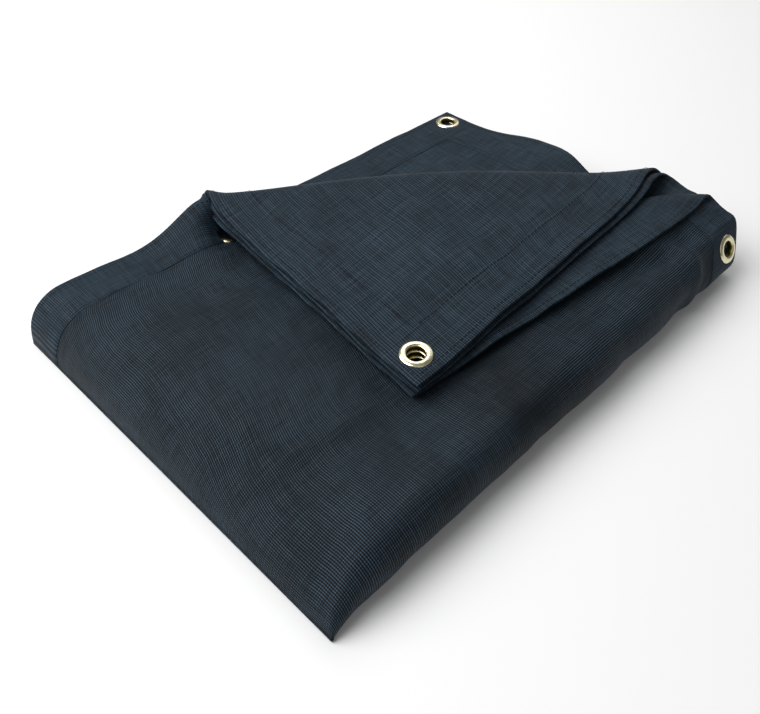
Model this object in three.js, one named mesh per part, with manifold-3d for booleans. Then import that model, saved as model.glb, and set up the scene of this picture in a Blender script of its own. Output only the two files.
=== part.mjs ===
// A folded mesh tarp: one knitted cloth lying in a flat bundle, with its hemmed corners
// together at the far corner. Three of them are turned back over a soft diagonal ridge.
// The hems hold brass grommets. Millimetres, +Z up. The origin is the middle of the bundle
// on the surface it rests on. +X runs along the long side, from the pinched near corner to
// the right corner, and +Y from the big rounded fold to the hemmed far side.

import * as THREE from 'three';
import { mergeVertices } from 'three/addons/utils/BufferGeometryUtils.js';
import Module from 'manifold-3d';

const wasm = await Module();
wasm.setup();

// Cloth
const CLOTH_THICK = 1.2;
const HEM_THICK = 2.4;
const HEM_WIDTH = 36;
const TURNED_HEM_WIDTH = 22;
const HEM_TAPER = 50;
const SEAM_GAP = 0.7;

// Outline of the bundle
const LEFT_X = -206;
const NEAR_Y = -153;
const FAR_Y_LEFT = 164;
const FAR_Y_RIGHT = 150;
const RIGHT_X = 212;
const BOW_Y = 75;
const BOW_REACH = 50;

// The left side is a fold. Its slope is steep at the far end and long at the near end.
const LEFT_FOLD_RADIUS = 1.2;
const SLOPE_FAR = 28;
const SLOPE_NEAR = 78;
const INNER_START_FAR = -188;
const INNER_START_NEAR = -166;

// Layers from the surface up, by the height of their middle. The section runs from the top
// layer round the big near fold into the bottom one, and then back and forth upwards.
const BOTTOM = { height: 0.6, right: 206, far: 0 };
const INNER = [
  { height: 3.8, right: 203, near: -134, far: 0 },
  { height: 7.0, right: 206, near: -136, far: 4 },
  { height: 10.2, right: 204, near: -133, far: 4.5 },
  { height: 13.4, right: 208, near: -135, far: 2 },
  { height: 16.6, right: 206, near: -134, far: 2.5 },
  { height: 19.8, right: 210, near: -136, far: 5 },
  { height: 23.0, right: 212, near: -134, far: 5.5 },
];
const FOURTH = { height: 26.3, right: 221, near: -134, far: 1.5, bow: 14 };

// The upper three layers are turned back round an axis that runs from start to end, at a
// height of its own. Their loose corners then lie at landing, a plan point and a height.
// The ridge they make is fuller in its middle. Its ends are drawn in along it, fading out
// over TUCK_REACH, each layer comes level over LEVEL_BEFORE_TURN before its turn, and the
// right end is lifted.
const TUCK_LEFT = 24;
const TUCK_REACH = 42;
const TUCK_LENGTH = 60;
const FULLNESS = 0.3;
const LIFT = { x: 222, y: -95, high: 9, long: 62, wide: 95 };
const LEVEL_BEFORE_TURN = 30;
const THIRD = {
  height: 29.6, right: 226, near: -134, far: 1, axisHeight: 46,
  start: [-57, 145], end: [216, -87], tuckRight: 32, landing: [-75.5, -90.5, 48.8],
};
const SECOND = {
  height: 33.4, right: 228, near: -134, far: 0.5, axisHeight: 46,
  start: [-57, 145], end: [216, -89], tuckRight: 32, landing: [-75.2, -90.2, 43.3],
};
const TOP = {
  height: 37.6, right: 230, far: 0, axisHeight: 45,
  start: [-57, 145], end: [216, -116], tuckRight: 14, landing: [-76.2, -87.6, 38.2],
};

// Soft unevenness: a row for each trough or swell, as a share of the height of the bundle
const SWELLS = [
  { at: 'hollow under the loose corner', x: -66, y: -82, turn: 0, long: 62, wide: 48, share: -0.085 },
  { at: 'trough across the left part', x: -120, y: -10, turn: 52, long: 105, wide: 26, share: -0.07 },
  { at: 'trough near the near corner', x: -118, y: -100, turn: 25, long: 60, wide: 24, share: -0.06 },
  { at: 'swell beside the near fold', x: 30, y: -128, turn: 2, long: 90, wide: 16, share: 0.05 },
  { at: 'swell by the left hem', x: -150, y: 95, turn: 8, long: 60, wide: 24, share: 0.04 },
  { at: 'hollow behind the ridge', x: 120, y: 90, turn: -42, long: 80, wide: 28, share: -0.08 },
  { at: 'swell on the far right edge', x: 216, y: 40, turn: 84, long: 44, wide: 36, share: 0.2 },
];

// Grommets: two flanges joined by a barrel, closed on the hem
const EYE_RADIUS = 6;
const BARREL_RADIUS = 7;
const CLOTH_HOLE_RADIUS = 7.3;
const FLANGE_RADIUS = 11;
const FLANGE_THICK = 0.7;
const FLANGE_ROUND = 0.4;
const FLANGE_CLEARANCE = 0.4;
const GROMMET_INSET = 18;
const FAR_GROMMET_INSET = 15;
const SIDE_GROMMET_SHARE = 0.6;
const GROMMET_STEPS = 16;
const CUTTER_LENGTH = 10;
const RIDGE_TO_LEFT_GROMMET = 12;
const TURN_TO_POCKET_GROMMET = 18;

// Lattice of each layer: columns from left to right, the last two being the hem line and the
// right edge, and rows from the far edge over the hem line to the near edge
const COLUMNS = [
  -206, -204.8, -202, -197, -188, -172, -150, -122, -94,
  -66, -38, -10, 18, 46, 74, 102, 130, 158,
];
const FIRST_INNER_COLUMN = 4;
const OUTER_ROWS = 10;
const INNER_ROWS = 5;
const HEM_COLUMN = COLUMNS.length;

// Angles of the big near fold, from the top layer down, and of its flatter hem
const BIG_FOLD_ANGLES = [90, 66, 40, 13, -14, -52, -90];
const HEM_FOLD_ANGLES = [90, 66, -11.2];
const FIRST_ANGLE_UNDER_HEM = 4;
const SMALL_FOLD_BULGE = 1.7;
const TURN_STEPS = 7;
const SNAP = 1.2;
const SLOPE_PASSES = 8;

const mix = (a, b, t) => a + (b - a) * t;
const radians = (degrees) => degrees * Math.PI / 180;
const count = (n) => Array.from({ length: n }, (_, i) => i);
const between = (t) => Math.min(1, Math.max(0, t));

function material(color, roughness, metalness) {
  return new THREE.MeshStandardMaterial({ color, roughness, metalness });
}

const clothMaterial = material(0x232b33, 0.7, 0);
const hemMaterial = material(0x2b343d, 0.8, 0);
const brassMaterial = material(0xc8b068, 0.3, 1);

// The far side of the bundle is a slightly slanted straight line
function farEdge(x) {
  return mix(FAR_Y_LEFT, FAR_Y_RIGHT, (x - LEFT_X) / (RIGHT_X - LEFT_X));
}

// Share of the height that is left as a layer falls towards the left fold: a quarter circle
function fall(x, y) {
  const reach = mix(SLOPE_NEAR, SLOPE_FAR, between((y - NEAR_Y) / (FAR_Y_LEFT - NEAR_Y)));
  const inward = between((x - LEFT_X - LEFT_FOLD_RADIUS) / reach);
  return Math.sqrt(1 - (1 - inward) ** 2);
}

// Sum of the soft troughs and swells: each is a turned bell shape
function unevenness(x, y) {
  return SWELLS.reduce((sum, swell) => {
    const turn = radians(swell.turn);
    const along = (x - swell.x) * Math.cos(turn) + (y - swell.y) * Math.sin(turn);
    const across = (y - swell.y) * Math.cos(turn) - (x - swell.x) * Math.sin(turn);
    return sum + swell.share * Math.exp(-((along / swell.long) ** 2) - (across / swell.wide) ** 2);
  }, 0);
}

// Height of a layer's middle over a plan point. The top and bottom layers meet in the left fold.
function heightOf(layer, x, y) {
  const base = BOTTOM.height;
  const isOuter = layer === TOP || layer === BOTTOM;
  if (isOuter && x <= LEFT_X) return base + LEFT_FOLD_RADIUS;
  const floor = layer === TOP ? base + 2 * LEFT_FOLD_RADIUS : base;
  const uneven = layer.turn ? between(-layer.turn.local(x, y)[1] / LEVEL_BEFORE_TURN) : 1;
  return floor + (layer.height - floor) * fall(x, y) * (1 + uneven * unevenness(x, y));
}

// Extra height of the turned-back layers at the right end of the ridge: a bell shape
function lift(x, y) {
  return LIFT.high * Math.exp(-(((x - LIFT.x) / LIFT.wide) ** 2) - ((y - LIFT.y) / LIFT.long) ** 2);
}

// The big near fold is a half circle between the top and the bottom layer
function bigFoldRadius(x) {
  const edgeY = NEAR_Y + (TOP.height - BOTTOM.height) / 2;
  return x <= LEFT_X ? 0 : (heightOf(TOP, x, edgeY) + lift(x, edgeY) - BOTTOM.height) / 2;
}

function nearEdge(layer, x) {
  return layer.near ?? NEAR_Y + bigFoldRadius(x);
}

// Plan x of a column: inner layers start further in than the outer ones
function columnX(layer, column, side, y) {
  const right = layer.right + (layer.bow ?? 0) * Math.exp(-(((y - BOW_Y) / BOW_REACH) ** 2));
  if (column > HEM_COLUMN) return right;
  if (column === HEM_COLUMN) return right - HEM_WIDTH - side * SEAM_GAP / 2;
  if (layer === TOP || layer === BOTTOM) return COLUMNS[column];
  const startShare = between((y - NEAR_Y) / (FAR_Y_LEFT - NEAR_Y));
  const start = mix(INNER_START_NEAR, INNER_START_FAR, startShare);
  const first = COLUMNS[FIRST_INNER_COLUMN];
  const last = COLUMNS[HEM_COLUMN - 1];
  return mix(start, last, (COLUMNS[column] - first) / (last - first));
}

// Depth of the far hem in plan: less beyond the axis, where the turned part is stretched
function farHemDepth(layer, x) {
  if (!layer.turn) return HEM_WIDTH;
  return mix(HEM_WIDTH, TURNED_HEM_WIDTH, between((x - layer.start[0] + HEM_TAPER / 2) / HEM_TAPER));
}

// Plan lattice of a layer. Side is 1 for the cloth and -1 for its hem, which keep a gap.
function lattice(layer, side) {
  const steps = layer === TOP || layer === BOTTOM ? OUTER_ROWS : INNER_ROWS;
  return count(steps + 2).map((row) => count(HEM_COLUMN + 2).map((column) => {
    const share = row < 1 ? 0 : (row - 1) / steps;
    const roughY = mix(FAR_Y_LEFT, NEAR_Y, row / (steps + 1));
    const x = columnX(layer, column, side, roughY);
    const far = farEdge(x) - layer.far;
    const hemLine = far - farHemDepth(layer, x) - side * SEAM_GAP / 2;
    return [x, row === 0 ? far : mix(hemLine, nearEdge(layer, x), share)];
  }));
}

// Picks the points of a lattice that a piece of cloth uses, and leaves the others undefined
function pick(rows, keeps) {
  return rows.map((row, j) => row.map((point, i) => (keeps(i, j) ? point : undefined)));
}

const isCloth = (first) => (i, j) => i >= first && i <= HEM_COLUMN && j >= 1;
const isWhole = (first) => (i) => i >= first;
const isHem = (first) => (i, j) => i >= first && (j <= 1 || i >= HEM_COLUMN);

// Two triangles for each cell whose four corners are there
function cells(rows) {
  const triangles = [];
  for (let j = 0; j + 1 < rows.length; j += 1) {
    for (let i = 0; i + 1 < rows[j].length; i += 1) {
      const [a, b, c, d] = [rows[j][i], rows[j][i + 1], rows[j + 1][i + 1], rows[j + 1][i]];
      if (a && b && c && d) triangles.push([a, d, c], [a, c, b]);
    }
  }
  return triangles;
}

// Splits triangles along the line where distance is zero. Points closer than SNAP count as on it.
function cutAlong(triangles, distance) {
  const side = (point) => (Math.abs(distance(point)) < SNAP ? 0 : Math.sign(distance(point)));
  const crossing = (p, q) => {
    const [above, below] = distance(p) > 0 ? [p, q] : [q, p];
    const share = distance(above) / (distance(above) - distance(below));
    return above.map((value, k) => mix(value, below[k], share));
  };
  return triangles.flatMap((triangle) => {
    const sides = triangle.map(side);
    if (!sides.includes(1) || !sides.includes(-1)) return [triangle];
    const lone = sides.findIndex((s, k) => s !== 0 && sides[(k + 1) % 3] !== s && sides[(k + 2) % 3] !== s);
    const [a, b, c] = [0, 1, 2].map((k) => triangle[(lone + k) % 3]);
    const [sideB, sideC] = [sides[(lone + 1) % 3], sides[(lone + 2) % 3]];
    if (sideB === 0) return [[a, b, crossing(a, c)], [b, c, crossing(a, c)]];
    if (sideC === 0) return [[a, crossing(a, b), c], [crossing(a, b), b, c]];
    const [ab, ac] = [crossing(a, b), crossing(a, c)];
    return [[a, ab, ac], [ab, b, c], [ab, c, ac]];
  });
}

// Sizes of a turned-back layer, which rolls round its axis and lies down along a straight
// slope. Its developed coordinates run along the axis and, over the roll, beyond it.
function turnOf(layer) {
  const start = new THREE.Vector2(...layer.start);
  const along = new THREE.Vector2(...layer.end).sub(start).normalize();
  const beyond = new THREE.Vector2(-along.y, along.x);
  const local = (x, y) => {
    const offset = new THREE.Vector2(x, y).sub(start);
    return [offset.dot(along), offset.dot(beyond)];
  };
  const radius = layer.axisHeight - layer.height;
  const [landX, landY, landHeight] = layer.landing;
  const [landAlong, landBeyond] = local(landX, landY);
  let slope = 0;
  let run = 0;
  for (let pass = 0; pass < SLOPE_PASSES; pass += 1) {
    const drop = layer.height + radius * (1 + Math.cos(slope)) - landHeight;
    run = -radius * Math.sin(slope) - landBeyond;
    slope = Math.atan2(drop, run);
  }
  const arc = radius * (Math.PI + slope);
  const corner = local(layer.right, farEdge(layer.right) - layer.far);
  const developed = [landAlong, arc + run / Math.cos(slope)];
  const edgeSlope = (FAR_Y_RIGHT - FAR_Y_LEFT) / (RIGHT_X - LEFT_X);
  const leftX = start.x + (farEdge(start.x) - layer.far - start.y) / (along.y / along.x - edgeSlope);
  const leftEnd = (leftX - start.x) / along.x;
  const rightEnd = (layer.right - start.x) / along.x;
  return { start, along, beyond, local, radius, slope, arc, corner, developed, leftEnd, rightEnd };
}

for (const layer of [THIRD, SECOND, TOP]) layer.turn = turnOf(layer);

// Developed coordinates of a plan point: the layer keeps its width round the axis, and
// then narrows evenly to its corner
function develop(turn, x, y) {
  const [along, beyond] = turn.local(x, y);
  const [cornerAlong, length] = turn.developed;
  const share = beyond / turn.corner[1];
  const spread = 1 / (1 - Math.min(share, turn.arc / length));
  const narrowing = Math.max(0, (share * length - turn.arc) / (length - turn.arc));
  return [(along - share * turn.corner[0]) * spread + cornerAlong * narrowing, share * length];
}

// How far a point is drawn in along the ridge: most at the side edges of the turned-back
// part, fading to nothing towards its corner, and also before the axis on the left
function drawnIn({ turn, tuckRight }, along, beyond) {
  const [cornerAlong, length] = turn.developed;
  const open = 1 - between((beyond - turn.arc) / (length - turn.arc));
  const left = TUCK_LEFT * (beyond < 0 ? Math.exp(-((beyond / TUCK_REACH) ** 2)) : open);
  const right = tuckRight * open * between(beyond / turn.arc);
  const near = (end) => Math.exp(-(((along - mix(cornerAlong, end, open)) / TUCK_LENGTH) ** 2));
  return left * near(turn.leftEnd) - right * near(turn.rightEnd);
}

// Place in space of developed coordinates, flat before the axis and rolled beyond it
function roll(layer, along, beyond, height) {
  const { turn } = layer;
  const angle = between(beyond / turn.arc) * (Math.PI + turn.slope);
  const rest = Math.max(0, beyond - turn.arc);
  const middle = Math.sin(Math.PI * between((along - turn.leftEnd) / (turn.rightEnd - turn.leftEnd))) ** 2;
  const settled = (1 - between(rest / (turn.developed[1] - turn.arc))) ** 2;
  const radius = turn.radius * (1 + FULLNESS * middle * settled);
  const out = beyond < 0 ? beyond : radius * Math.sin(angle) - rest * Math.cos(turn.slope);
  const up = radius * (1 - Math.cos(angle)) - rest * Math.sin(turn.slope);
  const axisPoint = turn.start.clone().addScaledVector(turn.along, along);
  const base = axisPoint.clone().addScaledVector(turn.beyond, Math.min(0, beyond));
  const lifted = lift(base.x, base.y) * (1 + Math.cos(Math.min(angle, Math.PI))) / 2;
  const plan = axisPoint.addScaledVector(turn.beyond, out)
    .addScaledVector(turn.along, drawnIn(layer, along, beyond));
  return new THREE.Vector3(plan.x, plan.y, height + up + lifted);
}

function place(layer, [x, y]) {
  if (!layer.turn) return new THREE.Vector3(x, y, heightOf(layer, x, y));
  const [along, beyond] = layer.turn.local(x, y);
  if (beyond > 0) return roll(layer, ...develop(layer.turn, x, y), layer.height);
  return roll(layer, along, beyond, heightOf(layer, x, y));
}

// Middle surface of a layer: its lattice, cut along the lines of the turn, put in place
function layerTriangles(layer, rows) {
  const { turn } = layer;
  const lines = turn ? count(TURN_STEPS + 1).map((step) => (
    turn.arc * step / TURN_STEPS * turn.corner[1] / turn.developed[1])) : [];
  const triangles = lines.reduce((pieces, line) => (
    cutAlong(pieces, ([x, y]) => turn.local(x, y)[1] - line)), cells(rows));
  return triangles.map((triangle) => triangle.map((point) => place(layer, point)));
}

// A row of the big near fold at one angle, from the edges of the top and bottom layers
function bigFoldRow(angle, topRow, bottomRow) {
  const up = Math.sin(radians(angle));
  const bottomEdge = placedRow(BOTTOM, bottomRow);
  return placedRow(TOP, topRow).map((top, i) => {
    const bottom = bottomEdge[i];
    if (!top || !bottom) return undefined;
    const outwards = (top.z - bottom.z) / 2 * Math.cos(radians(angle));
    return bottom.clone().lerp(top, (1 + up) / 2).sub(new THREE.Vector3(0, outwards, 0));
  });
}

// A small fold joins two edges over a middle line that bulges outwards
function smallFold(edgeA, edgeB, bulge) {
  const middle = edgeA.map((a, i) => a && edgeB[i] && a.clone().lerp(edgeB[i], 0.5).add(bulge));
  return cells([edgeA, middle, edgeB]);
}

function placedRow(layer, row) {
  return row.map((point) => point && place(layer, point));
}

// The whole cloth but for its hems: one back-and-forth section, with the turned corners on it
function clothTriangles() {
  const outFar = new THREE.Vector3(0, SMALL_FOLD_BULGE, 0);
  const outNear = new THREE.Vector3(0, -SMALL_FOLD_BULGE, 0);
  const outLeft = new THREE.Vector3(-SMALL_FOLD_BULGE, 0, 0);
  const topRows = lattice(TOP, 1);
  const bottomRows = lattice(BOTTOM, 1);
  const topEdge = topRows.at(-1);
  const bottomEdge = bottomRows.at(-1);
  const foldRows = BIG_FOLD_ANGLES.map((angle, k) => bigFoldRow(angle, topEdge, bottomEdge)
    .map((point, i) => (i <= HEM_COLUMN || k >= FIRST_ANGLE_UNDER_HEM ? point : undefined)));
  const triangles = [
    ...layerTriangles(TOP, pick(topRows, isCloth(0))),
    ...cells(foldRows),
    ...layerTriangles(BOTTOM, [...bottomRows].reverse()),
  ];

  const inner = INNER.map((layer) => pick(lattice(layer, 1), isWhole(FIRST_INNER_COLUMN)));
  INNER.forEach((layer, k) => {
    const goesNear = k % 2 === 0;
    triangles.push(...layerTriangles(layer, goesNear ? inner[k] : [...inner[k]].reverse()));
    const end = goesNear ? 0 : -1;
    const under = k === 0 ? placedRow(BOTTOM, bottomRows[0]) : placedRow(INNER[k - 1], inner[k - 1].at(end));
    triangles.push(...smallFold(under, placedRow(layer, inner[k].at(end)), goesNear ? outFar : outNear));
  });

  const [fourth, third, second] = [FOURTH, THIRD, SECOND]
    .map((layer) => pick(lattice(layer, 1), isCloth(FIRST_INNER_COLUMN)));
  const lastInner = placedRow(INNER.at(-1), inner.at(-1).at(-1));
  const leftEdges = [FOURTH, THIRD].map((layer, k) => [fourth, third][k].slice(1)
    .map((row) => placedRow(layer, [row[FIRST_INNER_COLUMN]])[0]));
  const leftFold = leftEdges[0].map((a, j) => {
    const b = leftEdges[1][j];
    return [a, a.clone().lerp(b, 0.5).add(outLeft), b];
  });
  triangles.push(
    ...smallFold(lastInner, placedRow(FOURTH, fourth.at(-1)), outNear),
    ...layerTriangles(FOURTH, [...fourth].reverse()),
    ...cells(leftFold),
    ...layerTriangles(THIRD, third),
    ...smallFold(placedRow(THIRD, third.at(-1)), placedRow(SECOND, second.at(-1)), outNear),
    ...layerTriangles(SECOND, [...second].reverse()),
  );
  return triangles;
}

// The doubled hem of a layer. The top one also follows the big near fold.
function hemTriangles(layer) {
  const first = layer === TOP ? 1 : FIRST_INNER_COLUMN;
  const rows = pick(lattice(layer, -1), isHem(first));
  const triangles = layerTriangles(layer, rows);
  if (layer !== TOP) return triangles;
  const bottomEdge = lattice(BOTTOM, -1).at(-1);
  const foldRows = HEM_FOLD_ANGLES.map((angle) => bigFoldRow(angle, rows.at(-1), bottomEdge));
  return [...triangles, ...cells(foldRows)];
}

function indexed(triangles) {
  const geometry = new THREE.BufferGeometry();
  const positions = triangles.flat().flatMap((p) => [p.x, p.y, p.z]);
  geometry.setAttribute('position', new THREE.Float32BufferAttribute(positions, 3));
  const merged = mergeVertices(geometry, 1e-3);
  const index = Array.from(merged.index.array);
  const kept = count(index.length / 3).map((t) => index.slice(3 * t, 3 * t + 3))
    .filter(([a, b, c]) => a !== b && b !== c && c !== a);
  merged.setIndex(kept.flat());
  return merged;
}

// A closed sheet: both faces lie half the thickness from the middle surface, joined by rims
function sheet(triangles, thickness) {
  const middle = indexed(triangles);
  middle.computeVertexNormals();
  const { position, normal } = middle.attributes;
  const half = thickness / 2;
  const points = [half, -half].flatMap((offset) => count(position.count).map((i) => new THREE.Vector3()
    .fromBufferAttribute(position, i)
    .addScaledVector(new THREE.Vector3().fromBufferAttribute(normal, i), offset)));
  const corners = Array.from(middle.index.array);
  const faces = count(corners.length / 3).map((t) => corners.slice(3 * t, 3 * t + 3));
  const edges = faces.flatMap(([a, b, c]) => [[a, b], [b, c], [c, a]]);
  const known = new Set(edges.map(([a, b]) => `${a} ${b}`));
  const rims = edges.filter(([a, b]) => !known.has(`${b} ${a}`));
  const under = position.count;
  const index = [
    ...faces.flat(),
    ...faces.flatMap(([a, b, c]) => [a + under, c + under, b + under]),
    ...rims.flatMap(([a, b]) => [b, a, a + under, b, a + under, b + under]),
  ];
  const solid = new THREE.BufferGeometry();
  solid.setAttribute('position', new THREE.Float32BufferAttribute(points.flatMap((p) => p.toArray()), 3));
  solid.setIndex(index);
  return solid;
}

function toManifold(geometry) {
  const bare = mergeVertices(geometry, 1e-4);
  return new wasm.Manifold(new wasm.Mesh({
    numProp: 3,
    vertProperties: new Float32Array(bare.attributes.position.array),
    triVerts: new Uint32Array(bare.index.array),
  }));
}

function fromManifold(body) {
  const mesh = body.getMesh();
  const geometry = new THREE.BufferGeometry();
  geometry.setAttribute('position', new THREE.BufferAttribute(mesh.vertProperties, 3));
  geometry.setIndex(new THREE.BufferAttribute(mesh.triVerts, 1));
  return geometry;
}

// Centre and facing of a grommet on a flat part of a layer
function flatSpot(layer, x, y) {
  const rise = (dx, dy) => heightOf(layer, x + dx, y + dy) - heightOf(layer, x - dx, y - dy);
  const facing = new THREE.Vector3(-rise(GROMMET_INSET, 0), -rise(0, GROMMET_INSET), 2 * GROMMET_INSET);
  return { centre: place(layer, [x, y]), facing: facing.normalize() };
}

// A spot on the turned-back part, given in developed coordinates
function turnedSpot(layer, along, beyond) {
  const at = (a, b) => roll(layer, along + a * FLANGE_RADIUS, beyond + b * FLANGE_RADIUS, layer.height);
  const facing = at(1, 0).sub(at(-1, 0)).cross(at(0, -1).sub(at(0, 1))).normalize();
  return { centre: at(0, 0), facing };
}

// Unit directions, in developed coordinates, of the left and right edges from the loose corner
function cornerEdges(layer) {
  const { turn } = layer;
  const corner = new THREE.Vector2(...turn.developed);
  const toLeft = new THREE.Vector2(turn.leftEnd, turn.arc).sub(corner).normalize();
  const toRight = new THREE.Vector2(turn.rightEnd, turn.arc).sub(corner).normalize();
  return { turn, corner, toLeft, toRight };
}

function cornerSpot(layer) {
  const { corner, toLeft, toRight } = cornerEdges(layer);
  const reach = GROMMET_INSET / Math.abs(toLeft.cross(toRight));
  const spot = corner.clone().addScaledVector(toLeft, reach).addScaledVector(toRight, reach);
  return turnedSpot(layer, spot.x, spot.y);
}

function pocketSpot(layer) {
  const { turn, corner, toLeft, toRight } = cornerEdges(layer);
  const inset = GROMMET_INSET / Math.abs(toLeft.cross(toRight));
  const from = corner.clone().addScaledVector(toLeft, inset);
  const beyond = turn.arc + TURN_TO_POCKET_GROMMET;
  from.addScaledVector(toRight, (beyond - from.y) / toRight.y);
  return turnedSpot(layer, from.x, from.y);
}

function leftSpot() {
  const { turn } = TOP;
  const y = farEdge(TOP.start[0]) - GROMMET_INSET;
  const x = TOP.start[0] - (RIDGE_TO_LEFT_GROMMET + (y - TOP.start[1]) * turn.beyond.y) / turn.beyond.x;
  return flatSpot(TOP, x, y);
}

function fourthSpot() {
  const x = FOURTH.right - FAR_GROMMET_INSET;
  return flatSpot(FOURTH, x, farEdge(x) - FOURTH.far - FAR_GROMMET_INSET);
}

// The side grommet sits on the flat facet of the hem on the big near fold
function sideSpot() {
  const edge = lattice(TOP, -1).at(-1);
  const bottomEdge = lattice(BOTTOM, -1).at(-1);
  const [upper, lower] = HEM_FOLD_ANGLES.slice(1).map((angle) => bigFoldRow(angle, edge, bottomEdge));
  const [inner, outer] = [-2, -1].map((k) => upper.at(k).clone().lerp(lower.at(k), 0.5));
  const centre = inner.lerp(outer, SIDE_GROMMET_SHARE);
  const facing = upper.at(-2).clone().sub(lower.at(-1)).cross(upper.at(-1).clone().sub(lower.at(-2)));
  return { centre, facing: facing.normalize() };
}

function placeAt(spot) {
  const turn = new THREE.Quaternion().setFromUnitVectors(new THREE.Vector3(0, 0, 1), spot.facing);
  return new THREE.Matrix4().compose(spot.centre, turn, new THREE.Vector3(1, 1, 1));
}

// A closed ring section: eye, flange and barrel, with rounded outer corners
function grommetGeometry() {
  const inside = HEM_THICK / 2 + FLANGE_CLEARANCE;
  const outside = inside + FLANGE_THICK;
  const upper = [
    [BARREL_RADIUS, inside],
    [FLANGE_RADIUS, inside],
    [FLANGE_RADIUS, outside - FLANGE_ROUND],
    [FLANGE_RADIUS - FLANGE_ROUND, outside],
    [EYE_RADIUS + FLANGE_ROUND, outside],
    [EYE_RADIUS, outside - FLANGE_ROUND],
  ];
  const lower = upper.map(([r, z]) => [r, -z]).reverse();
  const loop = [...upper, ...lower, upper[0]].map(([r, z]) => new THREE.Vector2(r, z));
  const ring = new THREE.LatheGeometry(loop, GROMMET_STEPS);
  ring.rotateX(Math.PI / 2);
  ring.deleteAttribute('normal');
  ring.deleteAttribute('uv');
  return mergeVertices(ring, 1e-4);
}

function hemWithHoles(layer, spots) {
  const cutters = spots.map((spot) => {
    const radius = CLOTH_HOLE_RADIUS;
    const cutter = new THREE.CylinderGeometry(radius, radius, CUTTER_LENGTH, GROMMET_STEPS);
    cutter.deleteAttribute('normal');
    cutter.deleteAttribute('uv');
    cutter.rotateX(Math.PI / 2);
    return toManifold(cutter.applyMatrix4(placeAt(spot)));
  });
  const strip = toManifold(sheet(hemTriangles(layer), HEM_THICK));
  return fromManifold(cutters.reduce((body, cutter) => body.subtract(cutter), strip));
}

function named(name, geometry, look) {
  const mesh = new THREE.Mesh(geometry, look);
  mesh.name = name;
  return mesh;
}

function grommet(name, spot) {
  const mesh = named(name, grommetGeometry(), brassMaterial);
  mesh.applyMatrix4(placeAt(spot));
  return mesh;
}

const GROMMETS = [
  { name: 'grommet_top_corner', layer: TOP, spot: cornerSpot(TOP) },
  { name: 'grommet_top_left', layer: TOP, spot: leftSpot() },
  { name: 'grommet_top_side', layer: TOP, spot: sideSpot() },
  { name: 'grommet_second_corner', layer: SECOND, spot: cornerSpot(SECOND) },
  { name: 'grommet_second_pocket', layer: SECOND, spot: pocketSpot(SECOND) },
  { name: 'grommet_third_corner', layer: THIRD, spot: cornerSpot(THIRD) },
  { name: 'grommet_fourth_corner', layer: FOURTH, spot: fourthSpot() },
];
const HEMS = [
  { name: 'hem_top', layer: TOP },
  { name: 'hem_second', layer: SECOND },
  { name: 'hem_third', layer: THIRD },
  { name: 'hem_fourth', layer: FOURTH },
];

const tarp = new THREE.Group();
tarp.add(named('mesh_cloth', sheet(clothTriangles(), CLOTH_THICK), clothMaterial));
for (const { name, layer } of HEMS) {
  const spots = GROMMETS.filter((row) => row.layer === layer).map((row) => row.spot);
  tarp.add(named(name, hemWithHoles(layer, spots), hemMaterial));
}
for (const { name, spot } of GROMMETS) tarp.add(grommet(name, spot));

export default tarp;
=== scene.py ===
# A folded mesh tarp: one knitted cloth in a flat bundle, with three corners turned back over
# a soft diagonal ridge, doubled hems, lines of stitches and brass grommets.
# Shapes are worked out in millimetres and become meshes in metres.

import math
from types import SimpleNamespace

import bpy
import numpy as np
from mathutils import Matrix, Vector


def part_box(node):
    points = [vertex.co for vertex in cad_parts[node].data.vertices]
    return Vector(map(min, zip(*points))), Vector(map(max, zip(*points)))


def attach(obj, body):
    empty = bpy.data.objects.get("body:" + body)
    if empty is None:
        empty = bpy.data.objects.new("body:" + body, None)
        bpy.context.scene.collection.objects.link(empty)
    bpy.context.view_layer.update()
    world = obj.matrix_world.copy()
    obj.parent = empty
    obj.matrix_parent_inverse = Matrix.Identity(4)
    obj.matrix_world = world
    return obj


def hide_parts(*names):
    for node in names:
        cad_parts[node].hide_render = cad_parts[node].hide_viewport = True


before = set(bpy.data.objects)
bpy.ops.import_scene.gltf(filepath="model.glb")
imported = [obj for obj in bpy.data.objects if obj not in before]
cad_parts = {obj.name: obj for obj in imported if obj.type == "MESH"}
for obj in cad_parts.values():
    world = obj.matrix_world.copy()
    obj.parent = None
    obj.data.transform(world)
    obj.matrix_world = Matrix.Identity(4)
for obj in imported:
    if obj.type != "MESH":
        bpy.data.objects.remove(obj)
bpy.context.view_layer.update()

bl_info = {
    "name": "Folded mesh tarp",
    "version": (1, 0, 0),
    "blender": (4, 5, 0),
    "location": "3D View > Sidebar > Tarp",
    "description": "Knitted cloth, hems, stitches and grommets of a folded mesh tarp",
    "category": "Object",
}

MM = 0.001
BODY = "root"
QUARTER_TURN = 90.0
HALF_TURN = 180.0

# Guard against a length of zero, room for rounding in a share, and the digits of a metre
# that tell two packed points apart
TINY = 1e-9
SHARE_ROOM = 1e-6
POINT_DIGITS = 6

# From a tone on screen to linear light: straight for the darkest tones, then a power
SCREEN_FULL = 255
SCREEN_STRAIGHT_TO = 10
SCREEN_SLOPE = 12.92
SCREEN_OFFSET = 0.055
SCREEN_POWER = 2.4


def table(columns, *rows):
    """A short table: each of its rows as a dictionary, by the names of the columns."""
    return [dict(zip(columns, row)) for row in rows]


# Outline of the bundle, as in the solids
LEFT_X = -206.0
RIGHT_X = 212.0
NEAR_Y = -153.0
FAR_Y_LEFT = 164.0
FAR_Y_RIGHT = 150.0
BOW_Y = 75.0
BOW_REACH = 50.0
HEM_WIDTH = 36.0
TURNED_HEM_WIDTH = 22.0
HEM_TAPER = 50.0

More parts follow.
